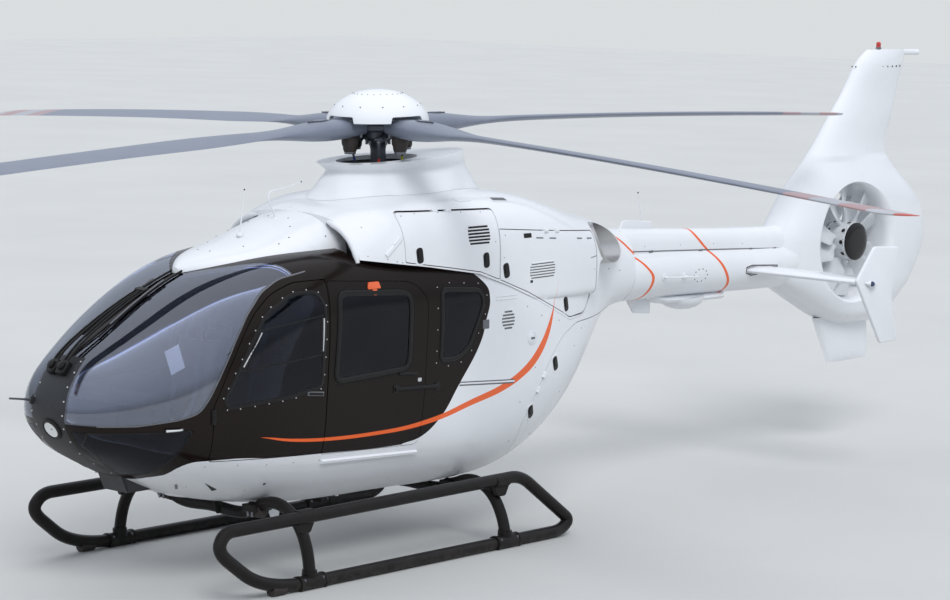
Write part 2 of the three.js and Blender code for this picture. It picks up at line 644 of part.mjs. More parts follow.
// Skids: closed tube loops. x, y, z of the centre line, corner radius
const skidPoints = [
  [4190, -SKID_HALF_TRACK, SKID_TUBE, 90], [1180, -SKID_HALF_TRACK, SKID_TUBE, 420], [770, -945, 360, 130],
  [850, -925, 478, 90], [3805, -905, 492, 110], [4300, -962, 110, 60],
];
function tubeLoop(points, radius, sides, cornerRings) {
  const count = points.length;
  const reach = radius / Math.cos(Math.PI / sides);
  const corner = points.map(([x, y, z, r], i) => {
    const here = new THREE.Vector3(x, y, z);
    const last = new THREE.Vector3(...points[(i + count - 1) % count].slice(0, 3));
    const next = new THREE.Vector3(...points[(i + 1) % count].slice(0, 3));
    return {
      here,
      from: here.clone().lerp(last, Math.min(0.46, r / here.distanceTo(last))),
      to: here.clone().lerp(next, Math.min(0.46, r / here.distanceTo(next))),
    };
  });
  const rings = corner.flatMap(({ here, from, to }) => {
    const bend = new THREE.QuadraticBezierCurve3(from, here, to);
    return Array.from({ length: cornerRings }, (_, j) => {
      const t = j / (cornerRings - 1);
      const centre = bend.getPoint(t);
      const tangent = bend.getTangent(t);
      const sideways = new THREE.Vector3(0, 1, 0).addScaledVector(tangent, -tangent.y).normalize();
      const outward = tangent.clone().cross(sideways);
      return Array.from({ length: sides }, (_, k) => {
        const a = (2 * Math.PI * (k + 0.5)) / sides;
        const p = centre.clone().addScaledVector(outward, reach * Math.cos(a));
        return p.addScaledVector(sideways, reach * Math.sin(a));
      });
    });
  });
  const total = rings.length * sides;
  const index = [];
  for (let r = 0; r < rings.length; r++) {
    for (let k = 0; k < sides; k++) {
      const a = r * sides + k;
      const b = r * sides + ((k + 1) % sides);
      index.push(a, b, (b + sides) % total, a, (b + sides) % total, (a + sides) % total);
    }
  }
  const g = new THREE.BufferGeometry().setFromPoints(rings.flat());
  g.setIndex(index);
  return toSolid(g);
}
const skid = tubeLoop(skidPoints, SKID_TUBE, 8, 4);
const skidClear = tubeLoop(skidPoints, SKID_TUBE + GAP, 8, 4);
putPair('skid', skid, finish.tube);

// Cross tubes: y, z down one side from the middle
const crossRows = {
  front: [[0, 432], [360, 440], [600, 535], [790, 480], [895, 360], [948, 220], [966, 118]],
  rear: [[0, 352], [380, 368], [620, 452], [800, 400], [893, 300], [945, 190], [966, 118]],
};
Object.entries(crossRows).forEach(([name, rows], i) => {
  const x = CROSS_X[i];
  const port = rows.map(([y, z]) => new THREE.Vector3(x, -y, z));
  const starboard = rows.slice(1).map(([y, z]) => new THREE.Vector3(x, y, z));
  const path = new THREE.CatmullRomCurve3([...port.reverse(), ...starboard], false, 'centripetal');
  const section = new THREE.Shape().absarc(0, 0, SKID_TUBE - 3, 0, 2 * Math.PI);
  const g = new THREE.ExtrudeGeometry(section, { steps: 16, extrudePath: path, curveSegments: 4 });
  let tube = toSolid(g);
  for (const side of [-1, 1]) {
    const sleeveFrom = new THREE.Vector3(x - 110, side * SKID_HALF_TRACK, 62);
    const sleeveTo = new THREE.Vector3(x + 110, side * SKID_HALF_TRACK, 62);
    tube = tube.add(box(x - 75, x + 75, side * 907.5 - 22.5, side * 907.5 + 22.5, 360, 478))
      .add(cylinderBetween(sleeveFrom, sleeveTo, 52, 8))
      .add(box(x - 90, x + 90, side * 450 - 60, side * 450 + 60, i ? 360 : 440, 640));
  }
  tube = tube.subtract(podClear).subtract(skidClear).subtract(mirrored(skidClear))
    .subtract(box(0, 6000, -1300, 1300, -100, 30));
  put(`cross_tube_${name}`, tube, finish.tube);
});

// Cabin inside
const floor = podRoom.intersect(box(700, 3960, -900, 900, FLOOR_Z - 40, FLOOR_Z));
put('cabin_floor', floor, finish.cabin);
const deck = podRoom.intersect(box(2440, 5300, -900, 900, DECK_Z - 28, DECK_Z)).add(
  podRoom.intersect(box(2440, 2466, -560, 560, DECK_Z - 10, 2180)))
  .subtract(pipeCut).subtract(mirrored(pipeCut));
put('engine_deck', deck, finish.alloy);
const consoleSide = [
  [560, 900, 30], [640, 1240, 40], [800, 1290, 30], [900, 1080, 30], [1010, 1000, 30], [1240, 960, 30],
  [1240, FLOOR_Z + GAP], [720, FLOOR_Z + GAP],
];
const panelSide = [[600, 1010, 20], [640, 1250, 30], [800, 1300, 30], [850, 1030, 20]];
const panel = sidePrism(consoleSide, -130, 130).add(sidePrism(panelSide, -470, 470));
put('instrument_panel', panel.intersect(podRoom), finish.cabin);
const seatSide = [
  [1330, FLOOR_Z + GAP], [1290, 820, 20], [1250, 985, 40], [1690, 960, 20], [1860, 1560, 40],
  [1900, 1760, 50], [1990, 1745, 40], [1955, 1560, 20], [1800, 900, 30], [1720, FLOOR_Z + GAP],
];
const seat = sidePrism(seatSide, -600, -165);
put('front_seat_left', seat.intersect(podRoom), finish.leather);
put('front_seat_right', mirrored(seat).intersect(podRoom), finish.leather);
const benchSide = seatSide.map(([x, z, r]) => [x + 1400, z, r]);
put('rear_seats', sidePrism(benchSide, -640, 640).intersect(podRoom), finish.leather);

// Heavy masses on the deck
const onMast = (below) => new THREE.Vector3(
  ROTOR_X + below * Math.sin(MAST_TILT), 0, HUB_Z - below * Math.cos(MAST_TILT));
const bearing = cylinderBetween(onMast(480), onMast(574), 63.3, 16);
const gearbox = box(2900, 3460, -270, 270, DECK_Z + GAP, 2430).add(mastLine(2400, 2505, 120, 24));
put('main_gearbox', gearbox.subtract(bearing), finish.alloy);
const engine = box(3780, 4640, -540, -140, DECK_Z + GAP, 2270).intersect(cowlRoom);
putPair('engine', engine, finish.steel);

// Rotor head on the tilted mast, then the blades
const rotor = new THREE.Group();
rotor.position.set(ROTOR_X, 0, HUB_Z);
rotor.rotation.y = -MAST_TILT;
root.add(rotor);
// Mast, swash plate and hub: lowest z, highest z, radius
const headDiscs = [[-570, -40, 62], [-400, -350, 150], [-70, 78, 118], [-20, 20, 175]];
const headPart = ([z0, z1, radius], gap = 0) => cylinderBetween(
  new THREE.Vector3(0, 0, z0 - gap), new THREE.Vector3(0, 0, z1 + gap), radius + gap, 16);
let head = headDiscs.map((row) => headPart(row)).reduce((sum, part) => sum.add(part));
const hubRoom = headPart(headDiscs[2], GAP).add(headPart(headDiscs[3], GAP));
for (const azimuth of BLADE_AZIMUTHS) {
  const lean = THREE.MathUtils.degToRad(azimuth) - 0.62;
  const at = (r, z) => new THREE.Vector3(r * Math.cos(lean), r * Math.sin(lean), z);
  head = head.add(cylinderBetween(at(138, -380), at(205, -70), 13, 6))
    .add(cylinderBetween(at(205, -84), at(60, -30), 14, 6));
}
rotor.add(toMesh('rotor_head', head, finish.alloy));

// Blade: radius, half chord, half thickness, fullness, forward sweep of the middle
const bladeRows = [
  [150, 68, 50, 2.4], [300, 98, 66, 2.4], [480, 128, 74, 2.3], [640, 138, 66, 2.2], [860, 120, 42, 2.1],
  [1100, 105, 27, 2], [1500, 138, 20, 2], [2000, BLADE_CHORD / 2, 18, 2], [3400, BLADE_CHORD / 2, 17, 2],
  [4700, BLADE_CHORD / 2, 15, 2], [ROTOR_RADIUS - 60, BLADE_CHORD / 2 - 12, 11, 2], [ROTOR_RADIUS, 70, 6, 2],
];
function bladeRing([r, half, thick, n]) {
  const droop = -BLADE_DROOP * (Math.max(0, r - 182) / (ROTOR_RADIUS - 182)) ** 1.6;
  return Array.from({ length: 12 }, (_, k) => {
    const a = (2 * Math.PI * k) / 12;
    return new THREE.Vector3(r, half * power(Math.cos(a), n), droop + thick * power(Math.sin(a), n));
  });
}
const blade = loft(bladeRows.map(bladeRing));
BLADE_AZIMUTHS.forEach((azimuth, k) => {
  const seated = blade.subtract(hubRoom.rotate([0, 0, -azimuth]));
  const node = toMesh(`main_blade_${k + 1}`, seated, finish.blade);
  node.rotation.z = THREE.MathUtils.degToRad(azimuth);
  rotor.add(node);
});
const CAP_RADIUS = 372;
const capProfile = [
  [0, 78 + GAP], [90, 78 + GAP], [150, 110], [CAP_RADIUS - 40, 84], [CAP_RADIUS, 92],
  [CAP_RADIUS - 30, 128], [300, 182], [210, 232], [110, 262], [0, 272],
];
const capGeometry = lathe(capProfile, 22);
capGeometry.rotateX(Math.PI / 2);
rotor.add(toMesh('rotor_cap', toSolid(capGeometry), finish.white));

root.position.set(-BOX_CENTRE_X, -BOX_CENTRE_Y, 0);
export default root;
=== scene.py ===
import json
from math import ceil, copysign, cos, exp, hypot, pi, radians, sin, sqrt

import bmesh
import bpy
from mathutils import Matrix, Vector

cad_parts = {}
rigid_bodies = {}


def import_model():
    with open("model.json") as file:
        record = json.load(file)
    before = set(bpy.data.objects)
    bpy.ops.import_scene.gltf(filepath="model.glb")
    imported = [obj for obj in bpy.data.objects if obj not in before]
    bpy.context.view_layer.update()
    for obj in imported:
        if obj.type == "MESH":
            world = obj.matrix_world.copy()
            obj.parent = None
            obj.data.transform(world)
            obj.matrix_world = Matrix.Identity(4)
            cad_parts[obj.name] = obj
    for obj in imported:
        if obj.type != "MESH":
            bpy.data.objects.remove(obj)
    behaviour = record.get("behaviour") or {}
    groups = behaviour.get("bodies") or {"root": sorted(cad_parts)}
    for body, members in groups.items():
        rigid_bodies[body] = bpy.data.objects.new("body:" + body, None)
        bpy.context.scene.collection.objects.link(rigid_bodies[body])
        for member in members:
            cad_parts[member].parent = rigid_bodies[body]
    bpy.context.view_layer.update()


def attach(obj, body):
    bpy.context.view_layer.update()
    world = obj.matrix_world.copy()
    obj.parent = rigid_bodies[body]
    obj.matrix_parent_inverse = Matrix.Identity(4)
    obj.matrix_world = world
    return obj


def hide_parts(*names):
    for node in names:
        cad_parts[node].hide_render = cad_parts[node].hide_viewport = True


# A light twin-engined helicopter on skids, with a ducted fan in its fin.
# Lengths are millimetres from the nose: x aft, y to starboard, z up; place() turns them into the frame's metres.
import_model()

# ---- Camera ----
# A long lens stands ahead of the port bow, a little above the rotor, and looks aft and down along the side.
# Its place and its right and upward directions are in the frame's metres.
CAMERA_AT = Vector((-15.860, -14.336, 4.239))
CAMERA_RIGHT = Vector((0.6696, -0.7425, 0.0199))
CAMERA_UP = Vector((0.0751, 0.0943, 0.9927))
FOCAL_LENGTH, SENSOR_WIDTH, FARTHEST = 108.07, 36, 400
SHIFT_X, SHIFT_Y = -0.0017, -0.0021


def linked(made):
    """Puts a new object into the scene."""
    bpy.context.scene.collection.objects.link(made)
    return made


camera = linked(bpy.data.objects.new("camera", bpy.data.cameras.new("camera")))
across_view = CAMERA_RIGHT.normalized()
back_view = across_view.cross(CAMERA_UP).normalized()
up_view = back_view.cross(across_view)
camera.matrix_world = Matrix.Translation(CAMERA_AT) @ Matrix((across_view, up_view, back_view)).transposed().to_4x4()
camera.data.sensor_width = SENSOR_WIDTH
camera.data.lens = FOCAL_LENGTH
camera.data.shift_x = SHIFT_X
camera.data.shift_y = SHIFT_Y
camera.data.clip_end = FARTHEST
bpy.context.scene.camera = camera


# ---- Floor and light ----
# A pale, slightly mottled floor under a soft high light, with a pale sky all round. Shader sums are written
# as expressions on Wire, which adds one Math node for each operator.
class Wire:
    def __init__(self, shader, socket):
        self.shader = shader
        self.socket = socket

    def math(self, operation, *values, clamp=False):
        return self.shader.node("ShaderNodeMath", {"operation": operation, "use_clamp": clamp}, values)

    def __add__(self, other):
        return self.math("ADD", self, other)

    def __sub__(self, other):
        return self.math("SUBTRACT", self, other)

    def __rsub__(self, other):
        return self.math("SUBTRACT", other, self)

    def __mul__(self, other):
        return self.math("MULTIPLY", self, other)

    def __truediv__(self, other):
        return self.math("DIVIDE", self, other)

    def __pow__(self, other):
        return self.math("POWER", self, other)

    def __abs__(self):
        return self.math("ABSOLUTE", self)

    __radd__ = __add__
    __rmul__ = __mul__

    def step(self, width):
        """0 below zero and 1 above it, over a soft edge of this width."""
        return self.math("MULTIPLY_ADD", self, 1 / width, 0.5, clamp=True)


class Shader:
    def __init__(self, name, color=(0.5, 0.5, 0.5), **sockets):
        self.material = bpy.data.materials.new(name)
        self.material.use_nodes = True
        self.tree = self.material.node_tree
        self.paint = self.tree.nodes["Principled BSDF"]
        self.paint.inputs["Base Color"].default_value = (*color, 1)
        for key, value in sockets.items():
            self.paint.inputs[key.replace("_", " ")].default_value = value
        self.material.diffuse_color = (*color, 1)

    def node(self, kind, settings=(), inputs=(), out=0):
        """One node: its settings first, then its sockets' values or links, by place or by name."""
        new = self.tree.nodes.new(kind)
        for key, value in dict(settings).items():
            if key == "stops":
                ramp = new.color_ramp
                while len(ramp.elements) < len(value):
                    ramp.elements.new(0.5)
                for stop, (at, shade) in zip(ramp.elements, value):
                    stop.position = at
                    stop.color = (*shade, 1)
            elif key == "knots":
                track = new.mapping.curves[0].points
                while len(track) < len(value):
                    track.new(0.5, 0.5)
                for knot, (u, v) in zip(track, value):
                    knot.location = (u, v)
                    knot.handle_type = "AUTO_CLAMPED"
                new.mapping.update()
            else:
                setattr(new, key, value)
        pairs = inputs.items() if isinstance(inputs, dict) else enumerate(inputs)
        for key, value in pairs:
            if value is None:
                continue
            if isinstance(value, Wire):
                self.tree.links.new(value.socket, new.inputs[key])
            else:
                new.inputs[key].default_value = value
        return Wire(self, new.outputs[out])

    def here(self):
        """Object coordinates, in the frame's metres at rest."""
        return self.node("ShaderNodeTexCoord", out=3)

    def split(self, vector):
        parts = self.node("ShaderNodeSeparateXYZ", inputs=[vector]).socket.node
        return [Wire(self, socket) for socket in parts.outputs]

    def noise(self, scale, detail=3, stretch=None, rough=0.5, out=0):
        at = self.here()
        if stretch:
            at = self.node("ShaderNodeVectorMath", {"operation": "MULTIPLY"}, [at, stretch])
        return self.node("ShaderNodeTexNoise", inputs={"Vector": at, "Scale": scale, "Detail": detail,
                                                      "Roughness": rough}, out=out)

    def blend(self, factor, first, second):
        """A colour mix; the two are colours or wires."""
        colors = [c if isinstance(c, Wire) else (*c, 1) for c in (first, second)]
        return self.node("ShaderNodeMix", {"data_type": "RGBA"}, {0: factor, 6: colors[0], 7: colors[1]}, out=2)

    def feed(self, **wires):
        for key, wire in wires.items():
            self.tree.links.new(wire.socket, self.paint.inputs[key.replace("_", " ")])
        return self

    def bump(self, height, strength, distance):
        return self.feed(Normal=self.node("ShaderNodeBump", inputs={
            "Strength": strength, "Distance": distance, "Height": height}))


floor_finish = Shader("pale_floor", (0.52, 0.53, 0.52), Roughness=0.8)
patches = floor_finish.noise(0.35, 5)
floor_finish.feed(Base_Color=floor_finish.blend(patches, (0.47, 0.475, 0.465), (0.55, 0.555, 0.54)))
FLOOR_HALF = 90
floor_mesh = bpy.data.meshes.new("floor")
floor_mesh.from_pydata([(u * FLOOR_HALF, v * FLOOR_HALF, 0) for u, v in ((-1, -1), (1, -1), (1, 1), (-1, 1))], [],
                       [(0, 1, 2, 3)])
floor = linked(bpy.data.objects.new("floor", floor_mesh))
floor_mesh.materials.append(floor_finish.material)

world = bpy.data.worlds.new("pale_sky")
bpy.context.scene.world = world
world.use_nodes = True
sky = world.node_tree.nodes
rise = sky.new("ShaderNodeSeparateXYZ")
shades = sky.new("ShaderNodeValToRGB")
for link in [(sky.new("ShaderNodeTexCoord").outputs["Generated"], rise.inputs[0]),
             (rise.outputs["Z"], shades.inputs[0]), (shades.outputs[0], sky["Background"].inputs["Color"])]:
    world.node_tree.links.new(*link)
# The glass mirrors these tones: a pale band at the horizon, darker above it, and bright overhead
HORIZON, LOW_SKY, HIGH_SKY, OVERHEAD = (0.70, 0.725, 0.74), (0.41, 0.44, 0.48), (0.62, 0.68, 0.77), (1.0, 1.04, 1.12)
shades.color_ramp.elements[0].color = (*HORIZON, 1)
shades.color_ramp.elements[1].color = (*OVERHEAD, 1)
for stop, tone in [(0.02, HORIZON), (0.06, LOW_SKY), (0.22, HIGH_SKY)]:
    shades.color_ramp.elements.new(stop).color = (*tone, 1)
bpy.context.scene.view_settings.view_transform = "Standard"
for lamp_name, way, wide, power in [("key", (-0.42, -0.62, 0.80), 24, 1.5), ("fill", (0.6, 0.8, 0.9), 60, 0.5)]:
    lamp_data = bpy.data.lights.new(lamp_name, "SUN")
    lamp_data.angle = radians(wide)
    lamp_data.energy = power
    lamp = linked(bpy.data.objects.new(lamp_name, lamp_data))
    lamp.visible_glossy = False
    lamp.matrix_world = Vector(way).to_track_quat("Z", "Y").to_matrix().to_4x4()


# ---- Cabin shell ----
# The composite body shell, one moulding from nose to tail cone with the belly, roof and door frames, painted white
# with a gloss brown-black cabin. Ring sections are joined by smooth curves, then the openings are cut.
BOX_CENTRE = Vector((4197, 12, 0))


def place(point):
    return (Vector(point) - BOX_CENTRE) / 1000


class Form:
    """Points in millimetres and faces, gathered before they become one mesh."""

    def __init__(self):
        self.points = []
        self.faces = []
        self.finish = []

    def add(self, points, faces, seat=None, finish=0):
        start = len(self.points)
        self.points += [seat @ Vector(p) if seat else Vector(p) for p in points]
        self.faces += [[start + i for i in face] for face in faces]
        self.finish += [finish] * len(faces)
        return self

    def join(self, other, seat=None, finish=None):
        start = len(self.points)
        self.points += [seat @ p if seat else p.copy() for p in other.points]
        self.faces += [[start + i for i in face] for face in other.faces]
        self.finish += other.finish if finish is None else [finish] * len(other.faces)
        return self

    def mirrored(self):
        new = Form()
        new.points = [Vector((p.x, -p.y, p.z)) for p in self.points]
        new.faces = [face[::-1] for face in self.faces]
        new.finish = list(self.finish)
        return new

    def both(self):
        return self.join(self.mirrored())

    def object(self):
        mesh = bpy.data.meshes.new("work")
        mesh.from_pydata([place(p) for p in self.points], [], self.faces)
        for face, finish in zip(mesh.polygons, self.finish):
            face.material_index = finish
        return linked(bpy.data.objects.new("work", mesh))


def gathered(*forms, finish=None):
    """Several forms as one, all with one finish where it is given."""
    new = Form()
    for form in forms:
        new.join(form, finish=finish)
    return new


def fitted(name, made, finishes, body="airframe", slot=None, sharp=32):
    """Names a made object, gives it its finishes and puts it on its body. One with a slot replaces its CAD node."""
    made.name = name
    made.data.name = name
    places = [face.material_index for face in made.data.polygons]
    made.data.materials.clear()
    for finish in finishes if isinstance(finishes, (list, tuple)) else [finishes]:
        made.data.materials.append(finish.material)
    made.data.polygons.foreach_set("material_index", [min(at, len(made.data.materials) - 1) for at in places])
    made.data.shade_smooth()
    made.data.set_sharp_from_angle(angle=radians(sharp))
    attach(made, body)
    if slot:
        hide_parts(name)
    return made


def copied(made):
    new = made.copy()
    new.data = made.data.copy()
    return linked(new)


def other_side(made):
    """The same object on the other side of the centre plane."""
    new = copied(made)
    plane = 2 * -BOX_CENTRE.y / 1000
    for vertex in new.data.vertices:
        vertex.co.y = plane - vertex.co.y
    new.data.flip_normals()
    return new


def fitted_pair(name, made, finishes, body="airframe", **more):
    """Left as made and its mirror image on the right; the names and bodies end in the side."""
    for side, half in (("right", other_side(made)), ("left", made)):
        fitted(f"{name}_{side}", half, finishes, body if body == "airframe" else f"{body}_{side}", **more)


CUT, KEEP, ADD = "DIFFERENCE", "INTERSECT", "UNION"


def carve(body, *steps):
    """Booleans on a copy, one after another; the tools are used up."""
    for operation, tool in steps:
        change = body.modifiers.new(operation, "BOOLEAN")
        change.solver = "MANIFOLD"
        change.operation = operation
        change.object = tool
    cut = bpy.data.meshes.new_from_object(body.evaluated_get(bpy.context.evaluated_depsgraph_get()))
    body.modifiers.clear()
    for _, tool in steps:
        used = tool.data
        bpy.data.objects.remove(tool)
        bpy.data.meshes.remove(used)
    return linked(bpy.data.objects.new("work", cut))


def drop(*objects):
    for used in objects:
        bpy.data.objects.remove(used)


def natural(knots, values):
    """A natural cubic curve through the knots, as a function of one number."""
    count = len(knots)
    gap = [knots[i + 1] - knots[i] for i in range(count - 1)]
    bend = [0.0] * count
    lower = [0.0] * count
    for i in range(1, count - 1):
        rise = (values[i + 1] - values[i]) / gap[i] - (values[i] - values[i - 1]) / gap[i - 1]
        pivot = 2 * (gap[i] + gap[i - 1]) - gap[i - 1] * lower[i - 1]
        lower[i] = gap[i] / pivot
        bend[i] = (6 * rise - gap[i - 1] * bend[i - 1]) / pivot
    for i in range(count - 2, 0, -1):
        bend[i] -= lower[i] * bend[i + 1]

    def curve(t):
        i = 0
        while i < count - 2 and t > knots[i + 1]:
            i += 1
        h = gap[i]
        a, b = (knots[i + 1] - t) / h, (t - knots[i]) / h
        cubic = (a ** 3 - a) * bend[i] + (b ** 3 - b) * bend[i + 1]
        return a * values[i] + b * values[i + 1] + cubic * h * h / 6
    return curve


def columns(rows):
    """A curve for each further column of a table, over its first column."""
    return [natural([row[0] for row in rows], [row[c] for row in rows]) for c in range(1, len(rows[0]))]


def turns(count):
    return [2 * pi * k / count for k in range(count)]


def circle(radius, height, sides):
    """A ring of points about z."""
    return [Vector((radius * cos(a), radius * sin(a), height)) for a in turns(sides)]


def quarter(half, reach, power, count):
    """Even steps along a quarter of a superellipse, from its side to its top."""
    whole = 48
    fine = [(half * cos(pi / 2 * k / whole) ** (2 / power), reach * sin(pi / 2 * k / whole) ** (2 / power))
            for k in range(whole + 1)]
    along = [0.0]
    for (u0, v0), (u1, v1) in zip(fine, fine[1:]):
        along.append(along[-1] + hypot(u1 - u0, v1 - v0))
    steps = []
    j = 0
    for k in range(count + 1):
        want = along[-1] * k / count
        while j < whole - 1 and along[j + 1] < want:
            j += 1
        part = (want - along[j]) / max(1e-9, along[j + 1] - along[j])
        steps.append((fine[j][0] + (fine[j + 1][0] - fine[j][0]) * part,
                      fine[j][1] + (fine[j + 1][1] - fine[j][1]) * part))
    return steps


def full_ring(up, down):
    """A section's ring from its upper and its lower quarter."""
    return ([(u, v) for u, v in up] + [(-u, v) for u, v in up[-2::-1]]
            + [(-u, -v) for u, v in down[1:]] + [(u, -v) for u, v in down[-2:0:-1]])


def slopes(surface, a, b, step=4):
    """How steeply a surface over two coordinates rises along each of them."""
    return ((surface(a + step, b) - surface(a - step, b)) / (2 * step),
            (surface(a, b + step) - surface(a, b - step)) / (2 * step))


# An inner skin steps back from the nose over this length
NOSE_LENGTH = 700


class Skin:
    """A body surface from a table of sections. With nose set, the curve opens like a root at its front end."""

    def __init__(self, rows, nose=False):
        self.front, self.rear = rows[0][0], rows[-1][0]
        self.key = (lambda x: sqrt(max(0.0, x - rows[0][0]))) if nose else (lambda x: x)
        self.columns = columns([[self.key(row[0]), *row[1:]] for row in rows])

    def row(self, x, inset=0):
        low, high, half, mid, above, below = [column(self.key(x)) for column in self.columns]
        if inset:
            half = max(half - inset, 0.02 * half)
            high = max(high - inset, mid + 0.02 * (high - mid))
            low = min(low + inset, mid - 0.02 * (mid - low))
        return low, high, half, mid, above, below

    def ring(self, x, count, inset=0):
        low, high, half, mid, above, below = self.row(x, inset)
        up = quarter(half, high - mid, above, count)
        down = quarter(half, mid - low, below, count)
        ahead = inset * max(0.0, 1 - (x - self.front) / NOSE_LENGTH)
        return [Vector((x + ahead, u, mid + v)) for u, v in full_ring(up, down)]

    def solid(self, count, steps, inset=0, start=None, end=None):
        first = self.key(self.front if start is None else start)
        last = self.key(self.rear if end is None else end)
        root = self.key(self.front) == 0
        stations = [first + (last - first) * i / steps for i in range(steps + 1)]
        xs = [self.front + s * s if root else s for s in stations]
        return loft([self.ring(x, count, inset) for x in xs])

    def width(self, x, z):
        """Half width at this height, or none outside the section."""
        low, high, half, mid, above, below = self.row(x)
        power, reach = (above, high - mid) if z >= mid else (below, mid - low)
        left = 1 - min(1.0, abs(z - mid) / reach) ** power
        return half * left ** (1 / power)

    def roof(self, x, y):
        low, high, half, mid, above, below = self.row(x)
        return mid + (high - mid) * (1 - min(1.0, abs(y) / half) ** above) ** (1 / above)

    def side_point(self, x, z, lift=0.0):
        """A point on the port side and the outward normal there."""
        slope_x, slope_z = slopes(self.width, x, z)
        normal = Vector((-slope_x, -1, -slope_z)).normalized()
        return Vector((x, -self.width(x, z), z)) + normal * lift, normal

    def roof_point(self, x, y, lift=0.0):
        slope_x, slope_y = slopes(self.roof, x, y)
        normal = Vector((-slope_x, -slope_y, 1)).normalized()
        return Vector((x, y, self.roof(x, y))) + normal * lift, normal


def loft(rings, finish=0):
    """Closed rings joined into a solid with flat ends."""
    count = len(rings[0])
    faces = [[r * count + k, r * count + (k + 1) % count, (r + 1) * count + (k + 1) % count, (r + 1) * count + k]
             for r in range(len(rings) - 1) for k in range(count)]
    last = (len(rings) - 1) * count
    faces += [list(range(count))[::-1], [last + k for k in range(count)]]
    return Form().add([p for ring in rings for p in ring], faces, finish=finish)


def outward(made, weld=0.0):
    """Turns a closed mesh's faces to look outwards. Points closer than weld, in metres, are joined first."""
    mesh = bmesh.new()
    mesh.from_mesh(made.data)
    if weld:
        bmesh.ops.remove_doubles(mesh, verts=mesh.verts, dist=weld)
        bmesh.ops.dissolve_degenerate(mesh, dist=weld / 4, edges=mesh.edges)
    bmesh.ops.recalc_face_normals(mesh, faces=mesh.faces)
    mesh.to_mesh(made.data)
    mesh.free()
    return made


def eased(last, here, after, radius, most, steps):
    """A corner between its neighbours turned into a short curve, which takes up to this share of each side."""
    start = here.lerp(last, min(most, radius / (here - last).length))
    end = here.lerp(after, min(most, radius / (here - after).length))
    return [start * (1 - t) ** 2 + here * (2 * t * (1 - t)) + end * t * t
            for t in [s / steps for s in range(steps + 1)]]


def rounded(points, steps=7):
    """An outline of corners (u, v, radius) with each corner turned into a short curve."""
    out = []
    count = len(points)
    for i, point in enumerate(points):
        here = Vector(point[:2])
        radius = point[2] if len(point) > 2 else 0
        if not radius:
            out.append(here)
            continue
        out += eased(Vector(points[i - 1][:2]), here, Vector(points[(i + 1) % count][:2]), radius, 0.45, steps)
    return out


def grown(points, by):
    """The same corners with every side moved outwards."""
    count = len(points)
    area = sum(points[i][0] * points[(i + 1) % count][1] - points[(i + 1) % count][0] * points[i][1]
               for i in range(count))
    turn = copysign(1, area)
    out = []
    for i, point in enumerate(points):
        here = Vector(point[:2])
        a = (here - Vector(points[i - 1][:2])).normalized()
        b = (Vector(points[(i + 1) % count][:2]) - here).normalized()
        na, nb = Vector((a.y, -a.x)) * turn, Vector((b.y, -b.x)) * turn
        mitre = na + nb
        mitre *= by / max(0.2, mitre.dot(na))
        out.append((here.x + mitre.x, here.y + mitre.y, point[2] if len(point) > 2 else 0))
    return out


def prism(points, axis, start, end, steps=7):
    """An outline seen along an axis (y: x and z, z: x and y, x: y and z) drawn out into a solid."""
    flat = rounded(points, steps)
    put = {"y": lambda u, v, w: (u, w, v), "z": lambda u, v, w: (u, v, w), "x": lambda u, v, w: (w, u, v)}[axis]
    return loft([[put(p.x, p.y, w) for p in flat] for w in (start, end)])


def tool(form):
    made = outward(form.object())
    for _ in range(2):
        made.data.materials.append(None)
    return made


# Side cuts reach this far out, past every skin
PAST = 1200


def port_cut(points, start=300):
    return tool(prism(points, "y", -PAST, -start))


def both_cuts(points, start=300):
    return tool(prism(points, "y", -PAST, -start).both())


def across_cut(points):
    return tool(prism(points, "y", -PAST, PAST))


WALL, MOVING_GAP = 34, 6
# x, belly z, roof z, half width, z of the widest line, exponents above and below
pod = Skin([
    [118, 1222, 1224, 1, 1223, 2, 2],
    [150, 1140, 1352, 212, 1222, 2, 2],
    [255, 985, 1525, 388, 1220, 2.1, 2.1],
    [460, 858, 1676, 535, 1215, 2.3, 2.2],
    [760, 712, 1848, 672, 1210, 2.6, 2.4],
    [1150, 568, 2038, 745, 1210, 3.2, 2.6],
    [1600, 478, 2165, 780, 1215, 4.2, 2.8],
    [2100, 428, 2215, 780, 1220, 5, 3],
    [2900, 410, 2220, 780, 1220, 5, 3],
    [3700, 402, 2220, 775, 1230, 5, 3],
    [4200, 448, 2215, 738, 1300, 4.4, 2.5],
    [4650, 610, 2205, 655, 1420, 3.8, 2.2],
    [5000, 860, 2190, 535, 1560, 3.2, 2.1],
    [5300, 1160, 2175, 400, 1680, 2.8, 2],
    [5600, 1420, 2145, 290, 1780, 2.3, 2],
    [5900, 1515, 2110, 250, 1790, 2, 2.1],
], nose=True)
POD_QUARTER, POD_STEPS = 40, 120
# Outlines seen from the side: x, z, corner radius
windshield_side = [
    [-200, 1175], [450, 1172], [690, 1200], [838, 1234, 60], [915, 1330], [1030, 1511], [1150, 1694, 60],
    [1275, 1852, 60], [1430, 1985, 60], [1600, 2062, 60], [1840, 2100], [1900, 2400], [-200, 2400],
]
windshield_plan = [[-200, -30], [1225, -30], [1420, -260, 100], [1700, -480, 100], [1860, -1200], [-200, -1200]]
CHIN_START = 190
chin_side = [
    [60, 1125], [812, 1130, 40], [782, 1092, 40], [745, 1006, 60], [703, 905, 60], [668, 815, 40], [640, 770, 40],
    [560, 720], [60, 720],
]
front_door_side = [
    [952, 900, 40], [942, 1262, 40], [1068, 1496, 80], [1192, 1692, 80], [1322, 1852, 80],
    [1490, 1972, 80], [1690, 2034, 40], [1962, 2040, 20], [1903, 862, 20],
]
sliding_door_side = [
    [1909, 850, 15], [2868, 812, 60], [2905, 1300, 40], [2935, 1850, 60], [2800, 1972, 100], [1974, 2030, 30],
]
